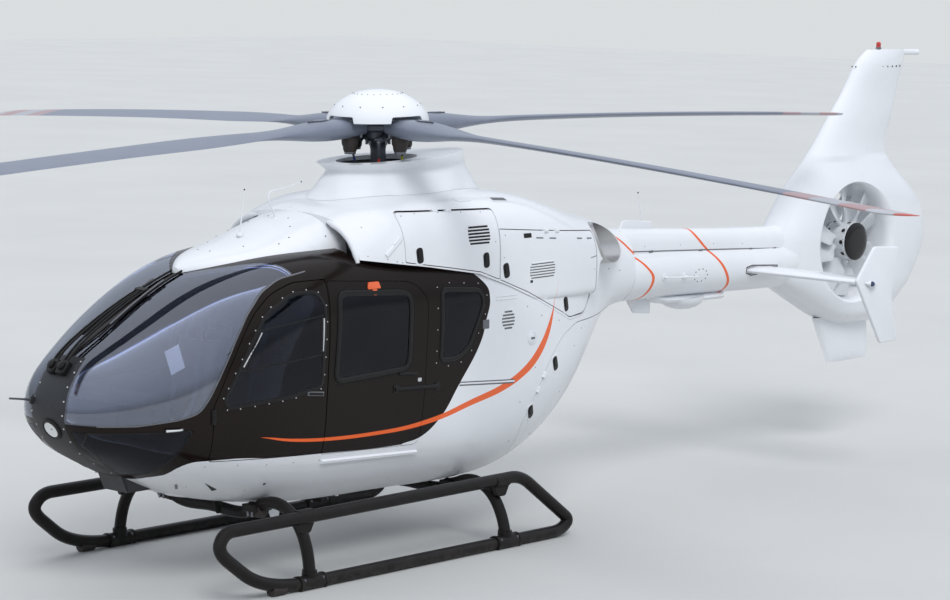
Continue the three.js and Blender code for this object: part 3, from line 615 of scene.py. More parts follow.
rear_window_side = [
    [3060, 1392, 30], [3240, 1390, 60], [3355, 1460, 60], [3528, 1775, 60], [3480, 1868, 50], [3080, 1900, 50],
]
cowl_side = [
    [2325, 2145], [2950, 2061], [3472, 1978], [3790, 1872], [4116, 1748], [4494, 1590], [4605, 1545, 40],
    [4875, 1559, 60], [5006, 1710, 60], [5060, 1960, 60], [5600, 1985], [5900, 2700], [2325, 2700],
]
clamshell_side = [
    [4035, 300], [4035, 830, 60], [4120, 965, 60], [4320, 1280, 80], [4500, 1440, 60], [4720, 1520, 60],
    [6000, 1520], [6000, 300],
]
# Exhaust pipe: the middles of its two ends on the port side, and its radius
pipe_from, pipe_to, PIPE = Vector((4880, -180, 2040)), Vector((5340, -610, 2095)), 162
pipe_way = (pipe_to - pipe_from).normalized()


def rod(start, end, radius, sides=32, tip=None):
    """A round bar between two points, with another radius at its far end where tip is given."""
    start, end = Vector(start), Vector(end)
    turn = (end - start).to_track_quat("Z", "X").to_matrix()
    return loft([[at + turn @ p for p in circle(r, 0, sides)]
                 for at, r in ((start, radius), (end, radius if tip is None else tip))])


def windshield_tool(by=0.0):
    port = port_cut(grown(windshield_side, by), 0)
    plan = tool(prism(grown(windshield_plan, by), "z", 900, 2500))
    cut = carve(port, (KEEP, plan))
    drop(port)
    return cut


def pipe_tool(radius):
    return tool(rod(pipe_from - pipe_way * 12, pipe_to, radius).both())


pod_outer = tool(pod.solid(POD_QUARTER, POD_STEPS))
# Inner faces carry the second finish
pod_inner = tool(gathered(pod.solid(20, 70, WALL), finish=1))
windshield_port = windshield_tool()
shell = carve(
    pod_outer, (CUT, copied(pod_inner)), (CUT, across_cut(cowl_side)),
    (CUT, other_side(windshield_port)), (CUT, windshield_port),
    (CUT, both_cuts(chin_side, CHIN_START)), (CUT, both_cuts(grown(front_door_side, MOVING_GAP))),
    (CUT, both_cuts(grown(sliding_door_side, 3))), (CUT, both_cuts(rear_window_side)),
    (CUT, both_cuts(clamshell_side, 0)), (CUT, pipe_tool(PIPE + 3)))

# Where the brown-black ends: lowest z along x, and furthest x up z, in metres from the nose
dark_low = [(0.0, 0.50), (0.66, 0.60), (0.69, 0.756), (0.70, 0.777), (0.723, 0.792), (0.746, 0.803), (0.761, 0.83),
            (0.788, 0.873), (0.885, 0.904), (1.151, 0.902), (1.455, 0.877), (1.876, 0.857), (2.476, 0.829),
            (2.705, 0.826), (6.0, 0.82)]
dark_rear = [(0.0, 2.5), (0.826, 2.70), (0.845, 2.83), (0.865, 2.90), (0.966, 3.055), (1.188, 3.245), (1.502, 3.49),
             (1.644, 3.541), (1.784, 3.586), (1.857, 3.579), (1.955, 3.479), (2.0, 3.40), (2.06, 3.15), (3.0, 3.0)]
# A tapered orange stripe sweeps from the front door to the engine doors: its middle and half height along x
stripe_middle = [(0.0, 1.10), (1.30, 1.035), (1.6, 0.985), (2.0, 0.95), (2.5, 0.94), (3.0, 0.975), (3.4, 1.06),
                 (3.75, 1.135), (4.0, 1.23), (4.15, 1.33), (4.28, 1.48), (4.37, 1.68), (4.42, 1.90), (6.0, 2.6)]
stripe_half = [(0.0, 0.0), (1.28, 0.0), (1.5, 0.008), (2.0, 0.012), (2.6, 0.014), (3.2, 0.020), (3.7, 0.026),
               (4.0, 0.034), (4.2, 0.048), (4.3, 0.052), (4.41, 0.0), (6.0, 0.0)]
WHITE, ORANGE = (0.78, 0.80, 0.83), (0.80, 0.13, 0.03)
# Metres that the tables span along x and up z, the same over the boom, and the soft edge of painted lines
LONG, TALL, BOOM_LONG, EDGE = 6, 3, 9, 0.002


def track(shader, value, knots, span, reach):
    """A curve through (input, output) knots in metres."""
    points = [(u / span, v / reach) for u, v in knots]
    return shader.node("ShaderNodeFloatCurve", {"knots": points}, {"Value": value / span}) * reach


def painted(name, dark=False, stripe=False, bands=()):
    """Two-coat gloss paint, with a little orange peel, and faint patches of dust."""
    paint = Shader(name, WHITE, Roughness=0.28, Specular_IOR_Level=0.14, Coat_Roughness=0.05)
    x, y, z = paint.split(paint.here())
    x = x + BOX_CENTRE.x / 1000
    patchy = paint.noise(1.7, 4)
    grime = paint.noise(9, 6, rough=0.7)
    color = paint.blend(patchy, (0.735, 0.75, 0.78), (0.785, 0.80, 0.825))
    color = paint.blend((grime - 0.55).step(0.5) * 0.10, color, (0.55, 0.54, 0.50))
    rough = 0.24 + grime * 0.10
    if stripe:
        middle = track(paint, x, stripe_middle, LONG, TALL)
        half = track(paint, x, stripe_half, LONG, TALL)
        sweep = (half - abs(z - middle)).step(EDGE) * (half - 0.001).step(0.001)
    if dark:
        low = track(paint, x, dark_low, LONG, TALL)
        rear = track(paint, z, dark_rear, TALL, LONG)
        mask = (z - low).step(EDGE) * (rear - x).step(EDGE)
        color = paint.blend(mask, color, paint.blend(patchy, (0.0078, 0.0046, 0.0036), (0.0118, 0.0076, 0.0062)))
        rough = rough - mask * 0.12
    if stripe:
        color = paint.blend(sweep, color, ORANGE)
    for knots, half_width in bands:
        line = track(paint, z, knots, TALL, BOOM_LONG)
        color = paint.blend((half_width - abs(x - line)).step(EDGE), color, ORANGE)
    paint.feed(Base_Color=color, Roughness=rough, Coat_Weight=0.5 - mask * 0.43 if dark else 0.5 + grime * 0.01)
    return paint.bump(paint.noise(260, 2), 0.02, 0.001)


def mottled(name, first, second, rough=(0.3, 0.5), scale=8, grain=300, relief=0.1, **sockets):
    """Two close colours in broad patches, with a fine grain in gloss and relief."""
    finish = Shader(name, first, **sockets)
    broad, fine = finish.noise(scale, 4), finish.noise(grain, 2)
    finish.feed(Base_Color=finish.blend(broad, first, second), Roughness=rough[0] + (rough[1] - rough[0]) * fine)
    return finish.bump(fine, relief, 0.001)


trim = mottled("moulded_trim", (0.030, 0.031, 0.034), (0.050, 0.051, 0.055), (0.5, 0.75), grain=500, relief=0.25)
# An orange band round the tail cone, and one round the boom: x up z
first_band = [(0.0, 6.1), (1.50, 6.10), (1.569, 6.127), (1.697, 6.147), (1.82, 6.05), (1.939, 5.883), (2.02, 5.79),
              (2.088, 5.714), (3.0, 5.7)]
BAND_HALF = 0.018
shell_paint = painted("shell_paint", dark=True, stripe=True, bands=[(first_band, BAND_HALF)])
fitted("cabin_shell", shell, [shell_paint, trim], slot="white_paint")

# ---- Cabin glass ----
# Stretched acrylic panes, tinted blue-grey, bonded flush into the shell: two windshields, two chin windows and the
# rear side windows. Each is cut out of the same skin, a few millimetres smaller than its opening.
GLASS = 9


def tinted(name, tint, see, haziness):
    """Acrylic that shows what is inside through a tint, and mirrors more where it is seen aslant."""
    glass = Shader(name, tint, Roughness=0.03, Metallic=1.0)
    clear = glass.node("ShaderNodeBsdfTransparent", inputs={"Color": (*see, 1)})
    rim = glass.node("ShaderNodeFresnel", inputs={"IOR": 1.5})
    solid = haziness + glass.noise(2.3, 3) * 0.03 + rim * 1.15
    factor = solid.math("MINIMUM", solid, 1.0)
    mixed = glass.node("ShaderNodeMixShader", inputs=[factor, clear, Wire(glass, glass.paint.outputs[0])])
    glass.tree.links.new(mixed.socket, glass.tree.nodes["Material Output"].inputs["Surface"])
    glass.bump(glass.noise(2.0, 1), 0.02, 0.01)
    return glass


clear_pane = tinted("windshield_glass", (0.84, 0.88, 1.0), (0.80, 0.83, 0.91), 0.09)
pane = tinted("cabin_glass", (0.38, 0.385, 0.43), (0.34, 0.36, 0.42), 0.0)
pod_glass = tool(pod.solid(28, 90, GLASS))
glass_skin = carve(pod_outer, (CUT, pod_glass))
windshield = carve(glass_skin, (KEEP, windshield_tool(-2)))
chin = carve(glass_skin, (KEEP, port_cut(grown(chin_side, -2), CHIN_START + 2)))
rear_pane = carve(glass_skin, (KEEP, port_cut(grown(rear_window_side, -2))))
fitted_pair("windshield", windshield, clear_pane, slot="glazing")
fitted_pair("chin_window", chin, pane, slot="glazing")
fitted_pair("rear_window", rear_pane, pane, slot="glazing")

# ---- Doors ----
# Moulded composite doors in the cabin's paint: the front pair swing on hinges at their leading edge, the second pair
# slide aft, and two clamshell doors close the rear of the cabin under the tail cone.
front_window_side = [
    [1040, 1305, 20], [1066, 1262, 20], [1590, 1290], [1868, 1334, 40], [1912, 1868, 50],
    [1850, 1960, 50], [1650, 1955, 60], [1420, 1842, 60], [1300, 1700, 60], [1150, 1482, 60],
]
sliding_window_side = [
    [2004, 1336, 70], [2742, 1364, 90], [2768, 1870, 70], [2700, 1908, 60], [2060, 1945, 60],
]
coachwork = painted("coachwork", dark=True, stripe=True)
pod_skin = carve(pod_outer, (CUT, copied(pod_inner)))
for kind, outline, window, body in [
    ("front", front_door_side, front_window_side, "front_door"),
    ("sliding", grown(sliding_door_side, -1), sliding_window_side, "airframe"),
]:
    door = carve(pod_skin, (KEEP, port_cut(outline)), (CUT, port_cut(window)))
    fitted_pair(f"{kind}_door", door, [coachwork, trim], body, slot="dark_paint")
    light = carve(glass_skin, (KEEP, port_cut(grown(window, -1.5))))
    fitted_pair(f"{kind}_window", light, pane, body, slot="glazing")
clam_room = tool(prism([[3900, 300], [5700, 300], [5700, 1600], [3900, 1600]], "y", -900, 900))
clamshell = carve(pod_skin, (KEEP, port_cut(grown(clamshell_side, -MOVING_GAP), 3)), (KEEP, clam_room))
fitted_pair("clamshell_door", clamshell, [coachwork, trim], "clamshell_door", slot="white_paint")

# ---- Engine cowling ----
# White composite cowling over the gearbox and both engines, with an air intake on each side of the roof fairing, two
# hinged doors on each side, and a rounded rear end between the exhausts.
COWL_WALL = 22
# Each further skin's table has the columns of the cabin's
cowl = Skin([
    [2330, 1700, 2438, 700, 1900, 3, 9],
    [2700, 1700, 2525, 748, 1900, 3.9, 9],
    [3200, 1700, 2545, 762, 1900, 4.2, 9],
    [3700, 1700, 2545, 762, 1900, 4.2, 9],
    [4200, 1700, 2510, 742, 1880, 3.8, 9],
    [4700, 1700, 2396, 668, 1860, 3.3, 9],
    [5150, 1700, 2288, 555, 1850, 2.9, 9],
    [5480, 1750, 2205, 455, 1840, 2.6, 9],
    [5640, 1800, 2150, 330, 1850, 2.3, 6],
    [5760, 1840, 2110, 220, 1870, 2, 4],
])
gearbox_door_side = [
    [2722, 2112, 20], [3160, 2048], [3490, 1996], [3692, 1928, 20], [3690, 2425, 30], [2722, 2448, 60],
]
engine_door_side = [
    [3704, 1924, 15], [4020, 1812], [4505, 1614, 30], [4600, 1572, 30], [4862, 1584, 60],
    [4985, 1722, 60], [5010, 2182, 20], [3704, 2285, 20],
]
# Each opening leaves more room where its door needs it: above the gearbox door, whose top edge rolls over the hinge,
# and behind the engine door, which swings aft as it lifts
gearbox_door_room = gearbox_door_side[:4] + [[3690, 2431, 30], [2722, 2454, 60]]
engine_door_room = [
    [3704, 1924, 15], [4020, 1812], [4505, 1614, 30], [4600, 1571, 30], [4868, 1574, 60],
    [4996, 1708, 60], [5018, 2182, 20], [3704, 2285, 20],
]
# Seen from ahead: y, z, corner radius
intake_front = [[-655, 2120], [-655, 2200, 30], [-600, 2264, 60], [-500, 2336, 80], [-400, 2374, 40], [-340, 2380],
                [-340, 2240], [-440, 2120]]
COWL_QUARTER, COWL_STEPS = 36, 90
cowl_paint = painted("cowl_paint", stripe=True, bands=[(first_band, BAND_HALF)])
cowl_outer = tool(cowl.solid(COWL_QUARTER, COWL_STEPS))
cowl_inner = tool(gathered(cowl.solid(20, 40, COWL_WALL, 2375, 5560), finish=1))
body_outer = carve(pod_outer, (ADD, cowl_outer))
hollow = carve(pod_inner, (ADD, cowl_inner))
body_skin = carve(body_outer, (CUT, copied(hollow)))
mast_hole = tool(rod((3190, 0, 2300), (3190, 0, 2700), 190, 48))
intake_hole = tool(prism(intake_front, "x", 2250, 2400).both())
cowling = carve(
    body_skin, (KEEP, across_cut(grown(cowl_side, -2))), (CUT, mast_hole),
    (CUT, both_cuts(grown(gearbox_door_room, MOVING_GAP))),
    (CUT, both_cuts(grown(engine_door_room, MOVING_GAP))),
    (CUT, intake_hole), (CUT, pipe_tool(PIPE + 3)))
fitted("upper_cowl", cowling, [cowl_paint, trim], slot="white_paint")
for kind, outline in [("gearbox_cowl_door", gearbox_door_side), ("engine_cowl_door", engine_door_side)]:
    lid = carve(body_skin, (KEEP, port_cut(outline)))
    fitted_pair(kind, lid, [cowl_paint, trim], kind, slot="white_paint")

# ---- Roof and mast fairings ----
# White composite mouldings screwed to the roof: a low one that leads air round the mast and into the intakes, and the
# tall collar, open on top, that the mast comes out of.
roof = Skin([
    [1240, 2050, 2112, 30, 2080, 2, 2],
    [1330, 2050, 2158, 130, 2090, 2.2, 2],
    [1500, 2060, 2212, 265, 2110, 2.2, 2],
    [1850, 2080, 2290, 405, 2120, 2.3, 2],
    [2200, 2080, 2404, 448, 2130, 2.4, 2],
    [2600, 2080, 2492, 430, 2140, 2.5, 2],
])
white_paint = painted("white_paint")
roof_solid = tool(roof.solid(24, 60))
throat_room = tool(prism([[2326, -560], [2442, -560], [2442, -330], [2326, -330]], "z", 2080, 2480))
throat = carve(roof_solid, (KEEP, throat_room))
fitted_pair("intake_throat", throat, white_paint)
pod_clear = tool(pod.solid(POD_QUARTER, POD_STEPS, -1))
cowl_clear = tool(cowl.solid(COWL_QUARTER, COWL_STEPS, -1))
roof_room = tool(prism([[1200, -700], [2329, -700], [2329, 700], [1200, 700]], "z", 2000, 2600))
roof_fairing = carve(roof_solid, (CUT, pod_clear), (CUT, copied(cowl_clear)), (KEEP, roof_room))
drop(roof_solid)
fitted("roof_fairing", roof_fairing, white_paint, slot="white_paint", sharp=50)

# z, front x, rear x, half width
mast_rows = [
    [2380, 2460, 4350, 540],
    [2470, 2535, 4285, 440],
    [2560, 2630, 4218, 340],
    [2650, 2700, 4150, 280],
    [2705, 2730, 4112, 268],
    [2735, 2692, 4095, 298],
    [2900, 2692, 4040, 298],
]
mast_columns = columns(mast_rows)


def mast_ring(z):
    front, rear, half = [column(z) for column in mast_columns]
    return [Vector(((front + rear) / 2 - (rear - front) / 2 * cos(a), -half * sin(a) * (1 + 0.3 * cos(a)), z))
            for a in turns(72)]


# The well that the mast stands in: the middle, length and width of its outline, which spreads with height
WELL_X, WELL_LONG, WELL_WIDE = 3180, 145, 92
mast_solid = tool(loft([mast_ring(2380 + 460 * i / 46) for i in range(47)]))
mast_top = across_cut([[2400, 2380], [2400, 2728], [2700, 2750], [4300, 2832], [4600, 2832], [4600, 2380]])
well = loft([[Vector((WELL_X + spread * WELL_LONG * cos(a), spread * WELL_WIDE * sin(a), z)) for a in turns(64)]
             for z, spread in [(2300, 2), (2560, 2), (2700, 2.3), (2900, 2.7)]])
mast_fairing = carve(mast_solid, (KEEP, mast_top), (CUT, tool(well)), (CUT, cowl_clear))
drop(mast_solid)
fitted("mast_fairing", mast_fairing, white_paint, slot="white_paint", sharp=50)

# ---- Exhausts ----
# A short pipe of rolled and welded stainless sheet from each engine, brushed, open at its end and trimmed flush with
# the cowling's side.
steel = Shader("exhaust_steel", (0.42, 0.41, 0.40), Metallic=1.0, Roughness=0.32)
brushed = steel.noise(40, 4, stretch=(1, 1, 12))
steel.feed(Base_Color=steel.blend(brushed, (0.46, 0.455, 0.45), (0.66, 0.655, 0.65)), Roughness=0.28 + brushed * 0.2)
steel.bump(brushed, 0.08, 0.002)
pipe = tool(rod(pipe_from, pipe_to, PIPE, 64))
pipe_bore = tool(rod(pipe_from + pipe_way * 12, pipe_to + pipe_way * 12, PIPE - 8, 64))
flush = tool(cowl.solid(36, 60, -14, end=5480))
exhaust = carve(pipe, (CUT, pipe_bore), (KEEP, flush))
drop(pipe)
fitted_pair("exhaust", exhaust, steel, slot="exhaust_steel")

# ---- Tail boom ----
# A round composite tube bolted to the tail cone, with the fan's drive shaft under a removable cover on top. It is
# white with two orange bands, and the tailplane passes through a slot in it.
boom = Skin([
    [5900.3, 1515, 1960, 250, 1745, 2, 2],
    [6300, 1512, 1955, 232, 1735, 2, 2],
    [7300, 1494, 1915, 214, 1705, 2, 2],
    [7999.7, 1482, 1890, 205, 1686, 2, 2],
])
cover = Skin([
    [5900.3, 1800, 2108, 158, 1925, 2.6, 2],
    [6300, 1800, 2088, 150, 1915, 2.6, 2],
    [7300, 1780, 2035, 142, 1868, 2.6, 2],
    [7999.7, 1760, 2010, 138, 1835, 2.6, 2],
])
stabilizer_slot = [
    [7432, 1672, 8], [7500, 1652, 10], [7850, 1672, 6], [7850, 1690, 6], [7500, 1712, 10], [7432, 1700, 8],
]
second_band = [(0.0, 7.2), (1.50, 7.21), (1.537, 7.215), (1.70, 7.13), (1.878, 6.967), (1.95, 6.88), (2.036, 6.812),
               (3.0, 6.8)]
boom_paint = painted("boom_paint", bands=[(first_band, BAND_HALF), (second_band, BAND_HALF)])
boom_solid = tool(boom.solid(20, 60))
slot_cut = tool(prism(grown(stabilizer_slot, 3), "y", -400, 400))
boom_made = carve(boom_solid, (ADD, tool(cover.solid(20, 60))), (CUT, tool(boom.solid(12, 20, 16))), (CUT, slot_cut))
drop(boom_solid)
fitted("tail_boom", boom_made, boom_paint, slot="white_paint", sharp=40)

# ---- Fin with its duct ----
# A composite moulding: the fin grows out of a thick ring that the fan turns in, with a small lower fin that keeps the
# ring off the ground. A fairing bonded over their joint leads the boom into it.
FAN_X, FAN_Z, DUCT_RADIUS = 8990, 1835, 500
# z, leading x, trailing x, half thickness, fullness of the section
fin_rows = [
    [1085, 8960, 9560, 70, 2.2],
    [1135, 8820, 9680, 150, 2.3],
    [1250, 8560, 9850, 215, 2.5],
    [1400, 8250, 10040, 245, 2.6],
    [1560, 7985, 10170, 255, 2.7],
    [1750, 7950, 10270, 258, 2.8],
    [1930, 8000, 10275, 258, 2.8],
    [2060, 8095, 10235, 254, 2.7],
    [2250, 8240, 10070, 240, 2.5],
    [2450, 8430, 9820, 185, 2.3],
    [2600, 8575, 9705, 140, 2.1],
    [2900, 8835, 9790, 105, 2],
    [3200, 9095, 9880, 86, 2],
    [3440, 9310, 9965, 68, 2],
    [3492, 9390, 9970, 48, 2],
]


def fin_ring(z, front, rear, half, fullness, count=24, inset=0):
    middle, reach = (front + rear) / 2, (rear - front) / 2 - inset
    fine = quarter(reach, half - inset, fullness, count)
    taper = 0.28 if fullness < 2.15 else 0.1
    return [Vector((middle + u, v * (1 - taper * u / reach), z)) for u, v in full_ring(fine, fine)]


fin_columns = columns(fin_rows)
fin_heights = [1085, 1092, 1103, 1118] + [1135 + (3440 - 1135) * i / 90 for i in range(91)] + [3460, 3478, 3488, 3492]
fin_solid = tool(loft([fin_ring(z, *[column(z) for column in fin_columns]) for z in fin_heights]))
# Duct: how far past its wall, distance along the fan's axis
duct_profile = [(710, -400), (620, -262), (585, -250), (556, -240), (532, -226), (516, -210), (505, -188),
                (DUCT_RADIUS, -150), (DUCT_RADIUS, 150), (505, 190), (516, 216), (538, 242), (560, 262), (650, 400)]


def turned(profile, seat, sides=96, finish=0):
    """A profile of radius and height turned round the seat's z axis."""
    return loft([[seat @ p for p in circle(r, h, sides)] for r, h in profile], finish)


def moved(x, y, z):
    return Matrix.Translation((x, y, z))


def spun(angle, axis="Z"):
    return Matrix.Rotation(angle, 4, axis)


def at_fan(angle, axis="Y"):
    """A seat in the middle of the duct, turned about an axis."""
    return moved(FAN_X, 0, FAN_Z) @ spun(angle, axis)


fan_seat = at_fan(-pi / 2, "X")
duct = tool(turned(duct_profile, fan_seat))
lower_fin = tool(loft([fin_ring(z, *row, 2, 12) for z, *row in [
    (752, 8915, 9545, 26), (765, 8910, 9542, 34), (830, 8880, 9540, 42), (1000, 8780, 9530, 54),
    (1160, 8690, 9520, 60)]]))
tip_bar = tool(rod((9560, 0, 3470), (10180, 0, 3462), 26, 24))
fin_front = tool(prism([[7000, 700], [8000, 700], [8000, 2600], [7000, 2600]], "y", -400, 400))
fin = carve(fin_solid, (ADD, lower_fin), (ADD, tip_bar), (CUT, duct), (CUT, fin_front))
drop(fin_solid)
fitted("fin_shroud", fin, white_paint, slot="white_paint", sharp=42)


ROOT_Z = 1760


def boom_reach(angle, x=7996):
    """How far the boom and its cover reach from the middle of their end, at an angle, by halving."""
    low, high = 0.0, 500.0
    for _ in range(24):
        middle = (low + high) / 2
        y, z = middle * cos(angle), ROOT_Z + middle * sin(angle)
        inside = any(skin.row(x)[0] < z < skin.row(x)[1] and skin.width(x, z) > abs(y) for skin in (boom, cover))
        low, high = (middle, high) if inside else (low, middle)
    return high


# The root fairing flows from the boom's outline into the sides of the fin
root_turns = turns(96)
root_start = [boom_reach(a) for a in root_turns]
root_end = [1 / hypot(cos(a) / 222, sin(a) / 290) for a in root_turns]
root = loft([[Vector((7994 + 340 * t, r * cos(a), ROOT_Z + r * sin(a)))
              for a, r in [(a, r0 + (r1 - r0) * (0.1 * t + 0.9 * t * t * (3 - 2 * t)))
                           for a, r0, r1 in zip(root_turns, root_start, root_end)]]
             for t in [i / 16 for i in range(17)]])
fitted("fin_root", tool(root), white_paint)

# ---- Tailplane and end plates ----
# One straight composite tailplane passes through the boom and is bolted there, with a swept end plate screwed to each
# of its tips.
PLATE_Y = 1285
plate_side = [
    [7430, 1690, 20], [7671, 1962, 30], [8022, 1940, 20], [7940, 1541, 10], [8036, 1164, 20], [7800, 1156, 20],
]


def plane_ring(y, count=24):
    """Tailplane section, 418 long, with a round nose and a thin tail."""
    upper = [(7432 + 418 * t, 68 * (1.35 * sqrt(t) - 1.0 * t - 0.25 * t * t))
             for t in [(k / count) ** 1.7 for k in range(count + 1)]]
    ring = [(x, 1681 + h) for x, h in upper] + [(x, 1681 - h) for x, h in upper[-2:0:-1]]
    return [Vector((x, y, z)) for x, z in ring]


stabilizer = tool(loft([plane_ring(y) for y in (-PLATE_Y + 0.3, 0, PLATE_Y - 0.3)]))
fitted("stabilizer", stabilizer, white_paint, slot="white_paint")
plate = loft([[Vector((p.x, -PLATE_Y - depth, p.y)) for p in rounded(grown(plate_side, -inset))]
              for depth, inset in [(0, 9), (2, 4), (6, 0.8), (10, 0), (20, 0), (24, 0.8), (28, 4), (30, 9)]])
fitted_pair("end_plate", tool(plate), white_paint, slot="white_paint")

# ---- Rotor head ----
# The mast leans a little forwards and ends in a flat forged hub that the blade roots bolt to. Four pitch links climb
# from the swash plate, and a rubber damper hangs under each root.
ROTOR_X, HUB_Z, MAST_TILT = 3190, 3005, radians(1.95)
BLADE_AZIMUTHS = [-5.6, 83.6, 174.2, 261.3]
rotor_seat = moved(ROTOR_X, 0, HUB_Z) @ spun(-MAST_TILT, "Y")
swings = [rotor_seat @ spun(radians(azimuth)) for azimuth in BLADE_AZIMUTHS]


def band(rings, finish=0):
    """Closed rings joined one after another, and the last to the first."""
    count, total = len(rings[0]), len(rings)
    faces = [[r * count + k, r * count + (k + 1) % count, (r + 1) % total * count + (k + 1) % count,
              (r + 1) % total * count + k] for r in range(total) for k in range(count)]
    return Form().add([p for ring in rings for p in ring], faces, finish=finish)


def ball(seat, radius, height, sides=12, rows=3, finish=0, base=-3.0):
    """A domed head standing on a seat."""
    rises = [pi / 2 * i / (rows + 0.4) for i in range(rows + 1)]
    return turned([(radius, base)] + [(radius * cos(a), height * sin(a)) for a in rises], seat, sides, finish)


mast_grey = mottled("mast_grey", (0.055, 0.062, 0.075), (0.10, 0.11, 0.13), (0.32, 0.5), Metallic=0.5)
link_alloy = mottled("link_alloy", (0.16, 0.17, 0.19), (0.26, 0.27, 0.29), (0.3, 0.45), Metallic=0.8)
rubber = mottled("damper_rubber", (0.020, 0.016, 0.014), (0.045, 0.035, 0.03), (0.55, 0.8))
tag_paints = [mottled(f"tag_{shade}", color, [0.8 * c for c in color], (0.35, 0.5)) for shade, color in [
    ("yellow", (0.75, 0.70, 0.04)), ("green", (0.03, 0.55, 0.16)), ("blue", (0.03, 0.08, 0.35)),
    ("red", (0.6, 0.04, 0.03))]]
head = Form().join(turned([
    (60, -570), (60, -424), (64, -416), (140, -408), (150, -400), (152, -352), (146, -346), (72, -340), (60, -330),
    (56, -300), (56, -165), (60, -140), (78, -110), (112, -84), (118, -76), (120, -34), (168, -24), (176, -16),
    (176, 14), (170, 22), (124, 30), (118, 72), (110, 78)], rotor_seat, 64))
for a in turns(8):
    spin = rotor_seat @ spun(a)
    head.join(ball(spin @ moved(148, 0, 22), 13, 12, finish=1))
    head.join(rod((82, 0, -130), (82, 0, -92), 10, 12), spin, 1)
    head.join(ball(spin @ moved(128, 0, -348), 9, 9, finish=1))
for k, (azimuth, swing) in enumerate(zip(BLADE_AZIMUTHS, swings)):
    lean = rotor_seat @ spun(radians(azimuth) - 0.62)
    low, top = Vector((142, 0, -372)), Vector((206, 0, -78))
    for a, b, radius, shade in [(0.0, 0.12, 15, 1), (0.12, 0.2, 12, 0), (0.2, 0.44, 8.5, 0), (0.44, 0.52, 9.6, 3 + k),
                                (0.52, 0.84, 8.5, 0), (0.84, 0.92, 12, 0), (0.92, 1.0, 15, 1)]:
        head.join(rod(low.lerp(top, a), low.lerp(top, b), radius, 16), lean, shade)
    for end in (low, top):
        for out, radius, sides, shade in ((24, 17, 20, 0), (30, 9, 12, 1)):
            head.join(rod(end + Vector((0, -out, 0)), end + Vector((0, out, 0)), radius, sides), lean, shade)
    head.join(rod((208, 12, -84), (120, 60, -62), 20, 16, 32), lean, 0)
    damper = swing @ moved(262, 0, 0)
    head.join(turned([(34, -172), (44, -166), (50, -150), (52, -128), (60, -112), (62, -86), (56, -60)], damper, 32, 2))
    head.join(turned([(40, -182), (42, -178), (42, -164)], damper, 32, 1))
    for side in (-1, 1):
        head.join(rod((196, side * 44, -66), (196, side * 44, -30), 13, 16), swing, 1)
fitted("rotor_head", tool(head), [mast_grey, link_alloy, rubber] + tag_paints, "main_rotor", slot="bare_alloy")

# ---- Main blades ----
# Four glass-fibre blades, blue-grey, with a thick cuff round each root and a thin aerofoil outboard. The tips carry
# pale red and white warning bands, and a bonded plate covers the bolts on top of each root.
BLADE_RADIUS, BLADE_DROOP, DROOP_FROM = 5100, 200, 182
# The aerofoil takes over from the cuff along CUFF_FADE from CUFF_END, and the tip is rounded off from TIP_FROM
CUFF_END, CUFF_FADE, TIP_FROM = 820, 480, 4960
blade_rows = [
    [150, 68, 50, 2.4], [300, 98, 66, 2.4], [480, 128, 74, 2.3], [640, 138, 66, 2.2], [860, 120, 42, 2.1],
    [1100, 105, 27, 2], [1500, 138, 20, 2], [2000, 145, 18, 2], [3000, 145, 17, 2], [5100, 145, 12, 2],
]
blade_columns = columns(blade_rows)


def droop(r):
    return -BLADE_DROOP * (max(0.0, r - DROOP_FROM) / (BLADE_RADIUS - DROOP_FROM)) ** 1.6


def blade_ring(r):
    half, thick, power = [column(r) for column in blade_columns]
    tip = sqrt(max(0.05, 1 - max(0.0, (r - TIP_FROM) / 141) ** 2))
    wing = min(1.0, max(0.0, (r - CUFF_END) / CUFF_FADE))
    wing = wing * wing * (3 - 2 * wing)
    twist = radians(10 - 5 * r / BLADE_RADIUS) * wing
    ring = []
    for a in turns(44):
        c, s = cos(a), sin(a)
        t = (1 + c) / 2
        foil = 2.969 * sqrt(t) - 1.26 * t - 3.516 * t ** 2 + 2.843 * t ** 3 - 1.036 * t ** 4
        cuff = abs(s) ** (2 / power)
        u = half * (copysign(abs(c) ** (2 / power), c) * (1 - wing) + (1 - (1 - c) * tip) * wing)
        w = thick * copysign(cuff * (1 - wing) + foil * wing * tip, s)
        ring.append(Vector((r, u * cos(twist) + w * sin(twist), droop(r) + w * cos(twist) - u * sin(twist))))
    return ring


blade_finish = Shader("blade_paint", (0.16, 0.18, 0.23), Coat_Weight=0.15, Coat_Roughness=0.2)
across_x, across_y, _ = blade_finish.split(blade_finish.here())
hub_at = place((ROTOR_X, 0, HUB_Z))
reach = ((across_x - hub_at.x) * (across_x - hub_at.x) + (across_y - hub_at.y) * (across_y - hub_at.y)) ** 0.5
weathered = blade_finish.noise(6, 5, rough=0.65)
shade = blade_finish.blend(weathered, (0.135, 0.155, 0.205), (0.20, 0.225, 0.28))
for start, end, color in [(4.24, 4.46, (0.36, 0.24, 0.25)), (4.46, 4.70, (0.37, 0.38, 0.41)),
                          (4.70, 4.92, (0.38, 0.23, 0.23)), (4.92, 5.06, (0.42, 0.43, 0.46)),
                          (5.06, 5.2, (0.52, 0.11, 0.09))]:
    mark = (reach - start).step(0.004) * (end - reach).step(0.004) * (0.72 + weathered * 0.4)
    shade = blade_finish.blend(mark.math("MINIMUM", mark, 1.0), shade, color)
blade_finish.feed(Base_Color=shade, Roughness=0.34 + weathered * 0.18)
blade_finish.bump(blade_finish.noise(380, 2), 0.05, 0.001)
plate_edge = mottled("blade_plate_edge", (0.05, 0.055, 0.07), (0.08, 0.085, 0.10), (0.4, 0.6))
stations = [150 + 850 * i / 34 for i in range(34)] + [1000 + 3960 * i / 60 for i in range(60)]
